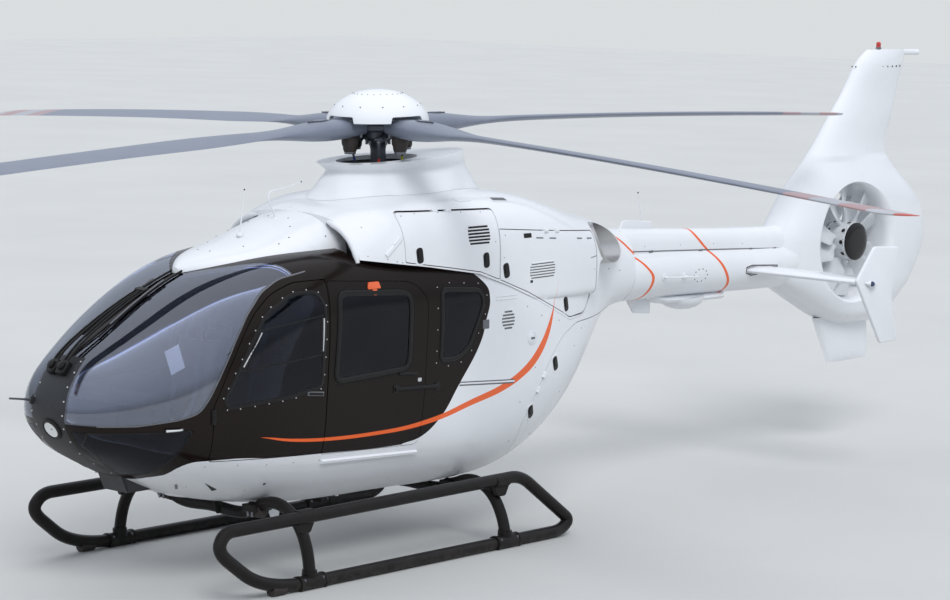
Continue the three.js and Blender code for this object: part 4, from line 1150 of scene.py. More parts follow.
stations += [TIP_FROM + 139 * sin(pi / 2 * i / 10) for i in range(11)]
single_blade = loft([blade_ring(r) for r in stations])
for k, swing in enumerate(swings):
    made = Form().join(single_blade, swing)
    for start, end, half, top, shade in [(430, 650, 34, 71, 1), (470, 610, 26, 74.5, 0)]:
        edge = [(start, 0, 0), ((start + end) / 2, -half * 1.6, 60), (end, 0, 0), ((start + end) / 2, half * 1.6, 60)]
        lens = [[Vector((p.x, p.y, droop(p.x) + top + h)) for p in rounded(edge, 9)] for h in (-12, 5)]
        made.join(loft(lens), swing, shade)
    fitted(f"main_blade_{k + 1}", tool(made), [blade_finish, plate_edge], "main_rotor", slot="blade_composite")

# ---- Rotor cap ----
# A white moulded dome over the hub, cut away in a slant-sided notch above each blade root. Two rings of rivets hold
# it to its frame.
cap = tool(turned([
    (1, 272), (40, 270.5), (80, 266.5), (120, 260), (160, 249), (205, 232), (255, 205), (300, 172), (335, 134),
    (358, 100), (369, 70), (372, 46), (364, 46), (361, 68), (350, 96), (328, 128), (294, 165), (250, 197),
    (202, 224), (158, 241), (118, 252), (80, 258.5), (40, 262.5), (1, 264)], rotor_seat))
for swing in swings:
    notch = prism([[-150, 20], [-128, 92, 16], [128, 92, 16], [150, 20]], "x", 240, 420)
    cap = carve(cap, (CUT, tool(Form().join(notch, swing))))
fitted("rotor_cap", cap, white_paint, "main_rotor", slot="white_paint", sharp=40)
cap_rivets = Form()
for k, a in enumerate(turns(24)):
    spin = rotor_seat @ spun(a + 0.1)
    cap_rivets.join(ball(spin @ moved(180, 0, 242) @ spun(0.35, "Y"), 5, 3, 8, 2))
    if k % 2:
        cap_rivets.join(ball(spin @ moved(312, 0, 161) @ spun(0.75, "Y"), 6, 3, 8, 2))
screw_grey = mottled("screw_grey", (0.16, 0.16, 0.17), (0.32, 0.32, 0.33), (0.3, 0.5), Metallic=0.7)
fitted("cap_rivets", tool(cap_rivets), screw_grey, "main_rotor")

# ---- Mast well ----
# The opening round the mast is lined in dark composite, bonded into the collar. The boosters and the scissor link
# show as light metal rods inside.
liner_rings = []
for inset, span in ((3, range(9)), (8, range(8, -1, -1))):
    for i in span:
        z = 2552 + 196 * i / 8
        spread = 2 + 0.3 * min(1.0, (z - 2560) / 140) + 0.4 * max(0.0, (z - 2700) / 200)
        long, wide = spread * WELL_LONG - inset, spread * WELL_WIDE - inset
        liner_rings.append([Vector((WELL_X + long * cos(a), wide * sin(a),
                                    z + (0.018 * WELL_LONG * spread * cos(a) if i == 8 else 0))) for a in turns(64)])
# Near-black liner for the mast well and the nose panel; the same finish closes the intake throats as painted shade.
dark_liner_and_shade = mottled("dark_liner_and_shade", (0.010, 0.011, 0.013), (0.022, 0.023, 0.026), (0.4, 0.6))
well_parts = band(liner_rings)
for x, y, top, radius in [(2990, -70, 2668, 20), (2990, 70, 2668, 20), (3340, 0, 2672, 22), (3075, -120, 2640, 13),
                          (3075, 120, 2640, 13)]:
    well_parts.join(gathered(
        rod((x, y, 2520), (x, y, top - 30), radius, 20), rod((x, y, top - 30), (x, y, top), radius * 0.6, 20),
        rod((x, y - 26, top - 12), (x, y + 26, top - 12), 9, 16)), finish=1)
fitted("mast_well_lining", tool(well_parts), [dark_liner_and_shade, link_alloy], sharp=50)

# ---- Fan ----
# A white drum with ten blades at uneven angles turns in the duct. A glossy black cap closes its front, and a ring of
# lightening holes runs round its rim between the blades. A black disc fills each hole: painted shade inside the drum.
FAN_PLANE, FAN_BLADES = -105, 10
fan_rows = [[150, 26, 26, 0.2], [200, 40, 20, 0.45], [250, 92, 13, 0.60], [360, 90, 9.5, 0.42], [480, 84, 6.5, 0.25]]
fan_columns = columns(fan_rows)
pale_alloy = mottled("fan_alloy", (0.50, 0.52, 0.54), (0.62, 0.64, 0.66), (0.26, 0.4), Coat_Weight=0.3)
cap_black = Shader("gloss_black", (0.008, 0.007, 0.008), Coat_Weight=0.3, Coat_Roughness=0.03, Specular_IOR_Level=0.2)
cap_black.feed(Roughness=0.10 + cap_black.noise(5, 4) * 0.10, Base_Color=cap_black.blend(
    cap_black.noise(30, 4), (0.006, 0.005, 0.006), (0.011, 0.010, 0.011)))
# Near-black for the lightening holes: painted shade of the drum's inside.
hole_painted_shade = mottled("hole_painted_shade", (0.006, 0.006, 0.007), (0.012, 0.012, 0.013), (0.6, 0.8))


def vane(spin, outline, r, middle, lean):
    """One ring of a blade or vane: its outline, leaned about the line that runs out from the axis."""
    return [spin @ Vector((u * cos(lean) - v * sin(lean), middle + u * sin(lean) + v * cos(lean), r))
            for u, v in outline]


fan = gathered(
    turned([(120, 10), (160, 8), (168, 0), (170, -20), (170, -190), (168, -204), (160, -214), (150, -218), (146, -218)],
           fan_seat),
    turned([(38, 130), (40, 126), (40, 8)], fan_seat, 32),
    turned([(160, -210), (165, -218), (163, -229), (148, -238), (112, -243), (70, -245.5), (20, -246)], fan_seat,
           finish=1))
for k in range(FAN_BLADES):
    spin = at_fan(radians(36 * k + (4.5 if k % 2 else -4.5)))
    rings = []
    for i in range(15):
        r = 150 + 330 * i / 14
        half, thick, pitch = [column(r) for column in fan_columns]
        outline = [(half * cos(a), thick * sin(a) * (1 - 0.35 * cos(a))) for a in turns(20)]
        rings.append(vane(spin, outline, r, FAN_PLANE, pitch))
    fan.join(loft(rings))
    between = radians(36 * (k + 0.5))
    for y, radius in ((-182, 21), (-30, 16)):
        hole = at_fan(between) @ moved(0, y, 169)
        fan.join(turned([(radius, -3), (radius + 4, -3), (radius + 4, 3), (radius, 3.6), (radius - 3, 2.0)], hole, 24))
        # A black disc fills each hole: painted shade inside the drum.
        fan.join(turned([(radius - 2.5, -3), (radius - 2.5, 2.6)], hole, 24, 2))
    for turn in (-0.14, 0.14):
        fan.join(ball(at_fan(between + turn) @ moved(0, -200, 168), 5, 4, 8, 2, 3))
fitted("tail_fan", tool(fan), [pale_alloy, cap_black, hole_painted_shade, screw_grey], "tail_fan",
       slot="white_paint")

# ---- Stator ----
# Behind the fan, eleven fixed vanes hold its gearbox in the middle of the duct and straighten the air; the drive
# shaft comes in from the boom through a square fairing, and a strut stands aft.
stator = Form().join(turned([
    (42, 20), (150, 20), (162, 26), (166, 36), (166, 196), (160, 210), (146, 218), (124, 222), (120, 238), (112, 246),
    (60, 250), (20, 251)], fan_seat, 72))
SHAFT_VANE = 6
for k, angle in enumerate(turns(11)):
    spin = at_fan(angle + 0.2)
    wide, deep, bow, lean = (42, 44, 0, 0) if k == SHAFT_VANE else (7, 48, 14, 0.35)
    outline = [(wide * cos(a) + bow * (1 - sin(a) ** 2), deep * sin(a)) for a in turns(24)]
    stator.join(loft([vane(spin, outline, 140 + (499.2 - 140) * i / 6, 130, lean) for i in range(7)]))
    stator.join(ball(spin @ moved(0, 205, 150) @ spun(-pi / 2, "X"), 9, 14, finish=1))
stator.join(loft([[Vector((FAN_X + x, 60 + 16 * cos(a), FAN_Z - 6 + 26 * sin(a))) for a in turns(20)]
                  for x in (150, 300, 499)], 1))
fitted("tail_stator", tool(stator), [pale_alloy, link_alloy], slot="white_paint")

# ---- Skids ----
# Two loops of black-painted tube with upturned fronts, closed by a raised top tube. Two bowed cross tubes carry the
# cabin on them through clamps and rubber pads, and sleeves with bolted straps hold them to the lower runs.
SKID_TUBE, SKID_HALF_TRACK, CROSS_X = 45, 972, [1597, 3577]


def bent(points, steps=8, closed=True):
    """A path in space through corners (x, y, z, radius), with each corner turned into a short curve."""
    out = []
    count = len(points)
    for i, (x, y, z, radius) in enumerate(points):
        here = Vector((x, y, z))
        if not closed and i in (0, count - 1):
            out.append(here)
            continue
        out += eased(Vector(points[i - 1][:3]), here, Vector(points[(i + 1) % count][:3]), radius, 0.46, steps)
    return out


def ways(path, closed=False):
    """Each point of a path, with the direction that the path takes there."""
    count = len(path)
    for i, here in enumerate(path):
        ahead = path[(i + 1) % count] if closed or i < count - 1 else here
        behind = path[i - 1] if closed or i else here
        yield here, (ahead - behind).normalized()


def piping(path, radius, sides=16, closed=False, reference=(0, 1, 0), finish=0):
    """A round tube along a path; the reference is a direction that the path never takes."""
    rings = []
    for i, (here, way) in enumerate(ways(path, closed)):
        side = (Vector(reference) - way * way.dot(Vector(reference))).normalized()
        other = way.cross(side)
        size = radius(i / (len(path) - 1)) if callable(radius) else radius
        rings.append([here + (side * cos(a) + other * sin(a)) * size for a in turns(sides)])
    return (band if closed else loft)(rings, finish)


def flowing(points, count):
    """A smooth path through points, evenly spread."""
    points = [Vector(p) for p in points]
    knots = [0.0]
    for a, b in zip(points, points[1:]):
        knots.append(knots[-1] + (b - a).length)
    curves = [natural(knots, [p[axis] for p in points]) for axis in range(3)]
    return [Vector([curve(knots[-1] * i / (count - 1)) for curve in curves]) for i in range(count)]


tube_black = mottled("skid_black", (0.008, 0.007, 0.007), (0.016, 0.014, 0.013), (0.26, 0.46), scale=5,
                     Coat_Weight=0.04, Coat_Roughness=0.2, Specular_IOR_Level=0.16)
x, _, z = tube_black.split(tube_black.here())
scuffed = (tube_black.noise(14, 6, rough=0.75) - 0.52).step(0.12) * (0.055 - z).step(0.05)
tube_black.feed(Base_Color=tube_black.blend(scuffed, tube_black.blend(
    tube_black.noise(5, 4), (0.008, 0.007, 0.007), (0.016, 0.014, 0.013)), (0.030, 0.027, 0.024)))
skid_path = bent([
    (4190, -SKID_HALF_TRACK, SKID_TUBE, 90), (1180, -SKID_HALF_TRACK, SKID_TUBE, 420), (770, -945, 360, 130),
    (850, -925, 478, 90), (3805, -905, 492, 110), (4300, -962, 110, 60)], 12)


def on_skid(x, z=SKID_TUBE):
    return Vector((x, -SKID_HALF_TRACK, z))


skid = piping(skid_path, SKID_TUBE - 0.3, 28, True)
for x in (1290, 1940, 3160, 3990):
    skid.join(piping([on_skid(x - 60, 42), on_skid(x + 60, 42)], 41.5, 24, finish=1))
fitted_pair("skid", tool(skid), [tube_black, rubber], slot="skid_paint")
cross_rows = [
    [[0, 432], [360, 440], [600, 535], [790, 480], [895, 360], [948, 220], [966, 118]],
    [[0, 352], [380, 368], [620, 452], [800, 400], [893, 300], [945, 190], [966, 118]],
]
for name, x, rows, saddle in [("front", CROSS_X[0], cross_rows[0], 440), ("rear", CROSS_X[1], cross_rows[1], 360)]:
    side_rows = [(x, -y, z) for y, z in rows[::-1]] + [(x, y, z) for y, z in rows[1:]]
    cross = piping(flowing(side_rows, 64), SKID_TUBE - 3, 24, reference=(1, 0, 0))
    half = gathered(piping([on_skid(x - 112), on_skid(x + 112)], 53, 28),
                    piping([Vector((x, -967, 128)), Vector((x, -962, 64))], 52, 24, reference=(1, 0, 0)))
    for end in (x - 112, x + 112):
        half.join(piping([on_skid(end - 9), on_skid(end + 9)], 57, 28))
    for dx in (-86, 86):
        for dy in (-40, 40):
            half.join(rod((x + dx, -SKID_HALF_TRACK + dy, 30), (x + dx, -SKID_HALF_TRACK + dy, 84), 8, 10), finish=1)
    half.join(prism([[x - 40, 372, 20], [x + 40, 372, 20], [x + 98, 486, 20], [x - 98, 486, 20]], "y", -930, -890))
    half.join(piping([Vector((x - 70, -908, 484)), Vector((x + 70, -908, 485))], 50, 24))
    top = pod.row(x)[0] + 30
    half.join(prism([[x - 88, saddle + 20, 14], [x + 88, saddle + 20, 14], [x + 88, top, 4], [x - 88, top, 4]], "y",
                    -508, -394))
    half.join(piping([Vector((x, -512, saddle + 28)), Vector((x, -390, saddle + 20))], 54, 24, False, (1, 0, 0), 2))
    for dx in (-64, 64):
        for y in (-470, -430):
            half.join(rod((x + dx, y, saddle - 14), (x + dx, y, saddle + 40), 9, 10), finish=1)
    cross.join(half.both())
    fitted(f"cross_tube_{name}", tool(cross), [tube_black, link_alloy, rubber], slot="skid_paint")

# ---- Cabin floor and bulkheads ----
# A flat sandwich floor covered in dark carpet, and an alloy engine deck above the cabin's rear. Both solids show as
# they are, each with a finish of its own.
carpet = Shader("carpet", (0.035, 0.034, 0.036), Roughness=0.95)
pile = carpet.noise(420, 3)
carpet.feed(Base_Color=carpet.blend(pile, (0.02, 0.02, 0.022), (0.055, 0.053, 0.055)))
carpet.bump(pile, 0.5, 0.003)
deck_alloy = mottled("deck_alloy", (0.36, 0.37, 0.38), (0.50, 0.51, 0.52), (0.3, 0.5), Metallic=0.85)
for node, finish in [("cabin_floor", carpet), ("engine_deck", deck_alloy)]:
    made = bpy.data.objects[node]
    made.data.materials.clear()
    made.data.materials.append(finish.material)
    for face in made.data.polygons:
        face.material_index = 0

# ---- Instrument panel ----
# A moulded pod across the nose with a glare shield over dark screens, a centre console between the front seats, and
# pedals and sticks for both crew.
def pad(points, height, bevel=1.5, base=-4.0, steps=5, finish=0):
    """A flat plate with a bevelled top, in its seat's plane."""
    lower, upper = rounded(points, steps), rounded(grown(points, -bevel), steps)
    return loft([[Vector((p.x, p.y, h)) for p in line] for line, h in
                 ((lower, base), (lower, height - bevel), (upper, height))], finish)


def oblong(wide, high, radius):
    return [[u * wide / 2, v * high / 2, radius] for u, v in ((-1, -1), (1, -1), (1, 1), (-1, 1))]


def seated(point, normal, along=(1, 0, 0)):
    """A seat with z along the normal and x as near as it can be to a direction."""
    z = Vector(normal).normalized()
    x = (Vector(along) - z * Vector(along).dot(z)).normalized()
    return Matrix.Translation(point) @ Matrix((x, z.cross(x), z)).transposed().to_4x4()


console_side = [[600, 900, 40], [640, 1240, 60], [800, 1285, 40], [900, 1080, 60], [1010, 1000, 40], [1236, 958, 30],
                [1236, 642], [720, 642]]
panel = gathered(*[prism(grown(console_side, -inset), "y", -span, span) for inset, span in ((0, 118), (12, 129))],
                 prism([[640, 1030, 40], [660, 1238, 50], [790, 1276, 40], [835, 1050, 40]], "y", -440, 440))
shield_side = [[610, 1240, 20], [640, 1278, 20], [800, 1318, 16], [868, 1300, 10], [860, 1286, 6], [780, 1268, 20]]
panel.join(prism(shield_side, "y", -462, 462), finish=1)
face_seat = seated((822, 0, 1160), (1, 0, 0.2), (0, 1, 0))
for y, wide in [(-330, 190), (-110, 190), (110, 190), (330, 190)]:
    at = face_seat @ moved(y, 6, 0)
    panel.join(pad(oblong(wide, 196, 14), 10, 3), at)
    panel.join(pad(oblong(wide - 28, 164, 8), 12, 1, finish=2), at)
    for k in range(6):
        panel.join(ball(at @ moved(-wide / 2 + 24 + k * (wide - 48) / 5, -90, 9), 5, 6, 8, 2, 1))
top_seat = seated((955, 0, 1040), (0.6, 0, 1), (0, 1, 0))
for row in range(3):
    for k in range(5):
        key_seat = top_seat @ moved(-80 + 40 * k, -30 + 30 * row, 0)
        panel.join(pad(oblong(30, 16, 3), 8, finish=1), key_seat)
long_seat = seated((1125, 0, 979), (0.17, 0, 1), (0, 1, 0))
for k in range(4):
    panel.join(pad(oblong(190, 40, 5), 6, finish=1), long_seat @ moved(0, -75 + 50 * k, 0))
for side in (-1, 1):
    for offset in (-75, 75):
        y = side * 330 + offset
        panel.join(piping(flowing([(900, y, 690), (880, y, 790), (850, y, 880)], 8), 10, 12, finish=3))
        panel.join(pad(oblong(96, 110, 12), 8, 2, finish=3), seated((848, y, 890), (1, 0, 0.35), (0, 1, 0)))
    stick = flowing([(x, side * 385, z) for x, z in ((1130, 650), (1145, 780), (1110, 900), (1135, 985))], 20)
    panel.join(piping(stick, lambda t: 12 if t < 0.7 else 17, 14, finish=1))
    panel.join(ball(seated((1138, side * 385, 990), (0.2, 0, 1)), 22, 30, 16, 4, finish=1))
    lever = flowing([(1500, side * 620, 680), (1380, side * 625, 800), (1290, side * 628, 860)], 14)
    panel.join(piping(lever, 14, 14, finish=1))
screen = Shader("dark_screen", (0.006, 0.007, 0.009), Coat_Weight=1.0, Coat_Roughness=0.02)
screen.feed(Roughness=0.08 + screen.noise(8, 3) * 0.08, Base_Color=screen.blend(
    screen.noise(3, 2), (0.005, 0.006, 0.008), (0.010, 0.012, 0.016)))
fitted("instrument_panel", tool(panel), [trim, rubber, screen, link_alloy], slot="cabin_trim")

# ---- Seats ----
# Foam cushions in brown-grey leather on moulded shells, with seams round their rims and channels sewn across, a head
# rest over each and grey webbing belts. The rear bench seats three.
def cushion(seat, wide, long, thick, crown, channels=()):
    """A crowned closed form: its sides pull in between the corners and its top swells between sewn channels."""
    across, along, pull = 28, 36, 0.06
    points, faces = [], []
    for face in (1, -1):
        for i in range(along + 1):
            for j in range(across + 1):
                u, v = sin(pi / 2 * (2 * j / across - 1)), sin(pi / 2 * (2 * i / along - 1))
                edge = (1 - abs(u) ** 3.2) * (1 - abs(v) ** 3.2)
                x = wide / 2 * u * (1 - pull * (1 - v * v) * abs(u)) * (1 - 0.05 * v ** 6)
                y = long / 2 * v * (1 - pull * (1 - u * u) * abs(v)) * (1 - 0.05 * u ** 6)
                h = thick / 2 * max(0.0, edge) ** 0.34
                if face > 0:
                    h += crown * (1 - u * u) * (1 - v * v)
                    for centre in channels:
                        h -= 9 * exp(-((v - centre) * long / 2 / 9) ** 2) * max(0.0, edge) ** 0.2
                    h -= 7 * (exp(-((abs(u) - 0.62) * wide / 2 / 8) ** 2)) * max(0.0, edge) ** 0.2
                points.append(Vector((x, y, face * h)))
    size = (along + 1) * (across + 1)
    for face in (0, 1):
        for i in range(along):
            for j in range(across):
                a = face * size + i * (across + 1) + j
                quad = [a, a + 1, a + across + 2, a + across + 1]
                faces.append(quad if face == 0 else quad[::-1])
    return Form().add(points, faces, seat)


leather = Shader("brown_leather", (0.13, 0.105, 0.09), Sheen_Weight=0.1, Sheen_Roughness=0.4)
grain = leather.node("ShaderNodeTexVoronoi", {"feature": "DISTANCE_TO_EDGE"}, {"Vector": leather.here(), "Scale": 420})
worn = leather.noise(5, 4)
leather.feed(Base_Color=leather.blend(worn, (0.095, 0.078, 0.068), (0.165, 0.135, 0.115)), Roughness=0.42 + worn * 0.2)
leather.bump(grain, 0.35, 0.0015)
webbing = Shader("grey_webbing", (0.12, 0.12, 0.125), Roughness=0.7)
weave = webbing.node("ShaderNodeTexWave", inputs={"Vector": webbing.here(), "Scale": 180, "Distortion": 0.6})
webbing.feed(Base_Color=webbing.blend(weave, (0.09, 0.09, 0.095), (0.17, 0.17, 0.175)))
webbing.bump(weave, 0.4, 0.001)


def belts(y, x0):
    form = Form()
    for dy in (-95, 95):
        path = flowing([(x0 + x, y + dy * out, z) for x, out, z in
                        ((560, 0.5, 1700), (470, 1, 1400), (400, 1.2, 1100), (330, 1.1, 1005))], 16)
        for a, b in zip(path, path[1:]):
            form.join(loft([[p + Vector((dx, w, 0)) for dx, w in ((-1.5, -23), (1.5, -23), (1.5, 23), (-1.5, 23))]
                            for p in (a, b)]))
    return form


def seat_back(y, x0, wide):
    """Cushion, back and head rest: place, slope, and then the cushion's own sizes."""
    return [cushion(moved(x0 + x, y, z) @ spun(radians(slope), "Y") @ spun(pi / 2), *sizes)
            for x, z, slope, *sizes in [(205, 940, 4, wide, 440, 92, 18, (-0.3, 0.35)),
                                        (515, 1255, -79, wide - 10, 600, 92, 20, (-0.45, 0.0, 0.45)),
                                        (600, 1668, -80, 250, 170, 78, 12)]]


SEAM, FILL = 0.0004, 0.8
frames, straps = Form(), Form()
for name, places, x0, wide in [("front_seat_left", [-382], 1250, 430), ("front_seat_right", [382], 1250, 430),
                               ("rear_seats", [-430, 0, 430], 2650, 415)]:
    pads = Form()
    for y in places:
        pads.join(gathered(*seat_back(y, x0, wide)))
        frames.join(prism([[x0 + 20, 872, 30], [x0 + 430, 862, 40], [x0 + 700, 1640, 60], [x0 + 655, 1650, 20],
                           [x0 + 395, 905, 60], [x0 + 25, 900, 20]], "y", y - wide / 2 + 8, y + wide / 2 - 8))
        frames.join(prism([[x0 + 90, 642], [x0 + 140, 880, 20], [x0 + 400, 880, 20], [x0 + 450, 642]], "y",
                          y - 130, y + 130))
        for dy in (-40, 40):
            frames.join(rod((x0 + 590, y + dy, 1540), (x0 + 612, y + dy, 1640), 7, 12), finish=1)
        straps.join(belts(y, x0))
    fitted(name, outward(pads.object(), SEAM), leather, slot="seat_cloth", sharp=60)
fitted("seat_frames", tool(frames), [trim, link_alloy])
fitted("seat_belts", tool(straps), webbing)

# ---- Gearbox and engines ----
# On the deck under the cowling: the cast gearbox, with ribs and a ring of bolts round its cover, and two turbines with
# clamped casings and oil pipes along them, each above its own plate.
cast = mottled("cast_alloy", (0.30, 0.31, 0.32), (0.42, 0.43, 0.44), (0.35, 0.55), grain=260, relief=0.3, Metallic=0.8)
gear = gathered(
    prism([[2904, -250, 60], [3456, -250, 60], [3456, 250, 60], [2904, 250, 60]], "z", 2047, 2300),
    turned([(240, 2290), (236, 2320), (190, 2400), (140, 2428), (124, 2440), (120, 2500), (70, 2502)],
           moved(ROTOR_X, 0, 0), 48))
rib = prism([[ROTOR_X + 120, 2300], [ROTOR_X + 232, 2300], [ROTOR_X + 226, 2330], [ROTOR_X + 120, 2420]], "y", -5, 5)
for a in turns(16):
    x, y = ROTOR_X + 222 * cos(a), 222 * sin(a)
    gear.join(rod((x, y, 2290), (x, y, 2326), 11, 8), finish=1)
    gear.join(rib, moved(ROTOR_X, 0, 0) @ spun(a) @ moved(-ROTOR_X, 0, 0))
fitted("main_gearbox", tool(gear), [cast, link_alloy], slot="bare_alloy")
ENGINE_Y, ENGINE_Z = -350, 2150
turbine = Form()
for x0, x1, start, z0, z1 in [(3800, 3960, 95, -11, -6), (3960, 4180, 118, 0, 0), (4180, 4240, 118, 3, 3),
                              (4240, 4480, 118, -2, 0), (4480, 4620, 118, 0, -6)]:
    turbine.join(rod((x0, ENGINE_Y, ENGINE_Z + z0), (x1, ENGINE_Y, ENGINE_Z + z1), start, 40, 118))
for x in (3962, 4180, 4240, 4478):
    turbine.join(rod((x - 7, ENGINE_Y, ENGINE_Z), (x + 7, ENGINE_Y, ENGINE_Z), 124, 40), finish=1)
for a in turns(8):
    pipe_path = flowing([(x, ENGINE_Y + out * cos(a + on), ENGINE_Z + up * sin(a + on)) for x, out, up, on in
                         ((3840, 108, 108, 0), (4060, 126, 120, 0.2), (4460, 118, 118, 0.5))], 20)
    turbine.join(piping(pipe_path, 7, 10, reference=(0, 0.6, 0.8), finish=1))
turbine.join(prism([[3786, 2048], [4634, 2048], [4634, 2060], [3786, 2060]], "y", -536, -144), finish=1)
fitted_pair("engine", tool(turbine), [cast, link_alloy], slot="bare_alloy")

# ---- Beacon ----
# The anti-collision light at the top of the fin: a dome of red glass, pressed with ribs inside, that is clamped on a
# small alloy foot.
red_glass = Shader("red_glass", (0.42, 0.012, 0.010), Coat_Weight=1.0, Coat_Roughness=0.03)
ribs = red_glass.node("ShaderNodeTexWave", {"bands_direction": "Z"}, {"Vector": red_glass.here(), "Scale": 60})
red_glass.feed(Base_Color=red_glass.blend(ribs, (0.32, 0.008, 0.008), (0.60, 0.03, 0.02)),
               Roughness=0.12 + red_glass.noise(12, 3) * 0.1)
red_glass.bump(ribs, 0.2, 0.001)
lamp_seat = moved(9560, 0, 0)
beacon = gathered(
    turned([(26, 3496.5), (26, 3504), (23, 3507), (22, 3512)], lamp_seat, 32, 1),
    turned([(21, 3508), (21.5, 3540), (20, 3549), (16, 3555), (9, 3559), (2, 3560)], lamp_seat, 32))
fitted("beacon", tool(beacon), [red_glass, link_alloy], slot="red_lamp")

# ---- Intake lips ----
# Each air intake has a rounded lip moulded on the cowl's front edge and painted with it. A near-black plate closes the
# throat behind it as painted shade of the deep duct, and a turned alloy ring stands in front of that.
def evenly(path, most=28.0, closed=False):
    """The same path with no step longer than most."""
    out = []
    last = len(path) if closed else len(path) - 1
    for i in range(last):
        a, b = path[i], path[(i + 1) % len(path)]
        steps = max(1, ceil((b - a).length / most))
        out += [a.lerp(b, s / steps) for s in range(steps)]
    return out if closed else out + [path[-1]]


arch = [Vector((2330, p.y, p.z)) for p in cowl.ring(2331, COWL_QUARTER, 23) if p.y < -345 and p.z > 2100]
lips = piping(evenly(arch, 16), lambda t: 24 if 0.12 < t < 0.88 else 24 - 90 * (0.12 - min(t, 1 - t)), 20,
              reference=(1, 0, 0))
throat_front = [[-664, 2130], [-664, 2200], [-615, 2280], [-500, 2362], [-380, 2400], [-380, 2130]]
# The plate across the throat is near-black: painted shade of the duct beyond it.
lips.join(prism(throat_front, "x", 2440, 2450), finish=1)
ring_seat = seated((2424, -560, 2256), (-1, -0.25, 0.1))
lips.join(band([[ring_seat @ Vector(((72 + 9 * cos(b)) * cos(a), (72 + 9 * cos(b)) * sin(a), 9 * sin(b)))
                 for b in turns(12)] for a in turns(48)]), finish=2)
fitted_pair("intake_lip", tool(lips), [white_paint, dark_liner_and_shade, link_alloy])

# ---- Seals, screws and strips ----
# Rubber seals and painted strips bonded round the windows, door handles and rails, a filler cap and a round grille,
# and rows of countersunk screws that hold the frames and panels.
# Black and grey seal finishes; they also make the painted shade in the louvre slots and between the grille's bars.
seal_black_and_shade = mottled("seal_black_and_shade", (0.004, 0.004, 0.004), (0.009, 0.008, 0.008), (0.3, 0.5), Specular_IOR_Level=0.3)
seal_grey_and_shade = mottled("seal_grey_and_shade", (0.10, 0.104, 0.115), (0.15, 0.154, 0.165), (0.45, 0.6))
screw_pale = mottled("screw_pale", (0.42, 0.42, 0.43), (0.58, 0.58, 0.59), (0.3, 0.45))
strip_orange = mottled("strip_orange", ORANGE, (0.72, 0.12, 0.03), (0.3, 0.4), Coat_Weight=0.4)
BLACK, GREY, PALE, AMBER, PLAIN, ALLOY = range(6)
trims = [seal_black_and_shade, seal_grey_and_shade, screw_pale, strip_orange, white_paint, link_alloy]


def bead(skin, points, wide, high, finish=BLACK, closed=False):
    """A low raised strip that follows a line (x, z, corner radius) on the port side."""
    line = bent([(p[0], 0, p[1], max(2, p[2] if len(p) > 2 else 2)) for p in points], 5, closed)
    outline = [(-0.5, -5), (0.5, -5), (0.5, high * 0.4), (0.28, high), (-0.28, high), (-0.5, high * 0.4)]
    rings = [[skin.side_point(here.x - way.z * wide * u, here.z + way.x * wide * u, lift)[0] for u, lift in outline]
             for here, way in ways(evenly(line, closed=closed), closed)]
    return (band if closed else loft)(rings, finish)


def rim(skin, outline, by, wide, high, finish=BLACK):
    """A bead all round an outline, this far outside it."""
    return bead(skin, grown(outline, by), wide, high, finish, True)


def studs(skin, places, radius=5.0, finish=PALE):
    return gathered(*[ball(seated(*skin.side_point(x, z)), radius, radius * 0.45, 8, 2, finish) for x, z in places])


def along(points, pitch):
    """Even places (x, z) along a closed outline."""
    fine = 4
    line = evenly([Vector((p.x, 0, p.y)) for p in rounded(points)], fine, True)
    return [(p.x, p.z) for p in line[::round(pitch / fine)]]


def plate_on(skin, x, z, outline, high, finish, slant=0.0):
    """A bevelled plate on the port side, turned by slant degrees."""
    seat = seated(*skin.side_point(x, z)) @ spun(radians(slant))
    return Form().join(pad(outline, high, base=-5.0), seat, finish)


SMALL = 4.5
front_trim = gathered(
    rim(pod, front_window_side, 9, 24, 3), studs(pod, along(grown(front_window_side, 26), 118)),
    *[bead(pod, line, wide, 2.2, shade) for line, wide, shade in [
        ([[1900, 1787], [1887, 1565]], 13, PALE), ([[1353, 1731], [1185, 1516]], 10, PALE),
        ([[1158, 1490], [1872, 1541]], 9, BLACK), ([[1345, 1746], [1896, 1808]], 9, BLACK),
        ([[1186, 1500], [1345, 1735]], 14, BLACK), ([[1868, 1560], [1880, 1790]], 14, BLACK)]],
    bead(pod, [[1738, 1288], [1890, 1272]], 30, 5, GREY), bead(pod, [[1752, 1287], [1878, 1273]], 17, 13, BLACK),
    studs(pod, [(1012, 960), (1012, 1160), (1210, 935), (1420, 915), (1640, 900), (1860, 888)], SMALL, BLACK))
fitted_pair("front_door_trim", tool(front_trim), trims, "front_door")

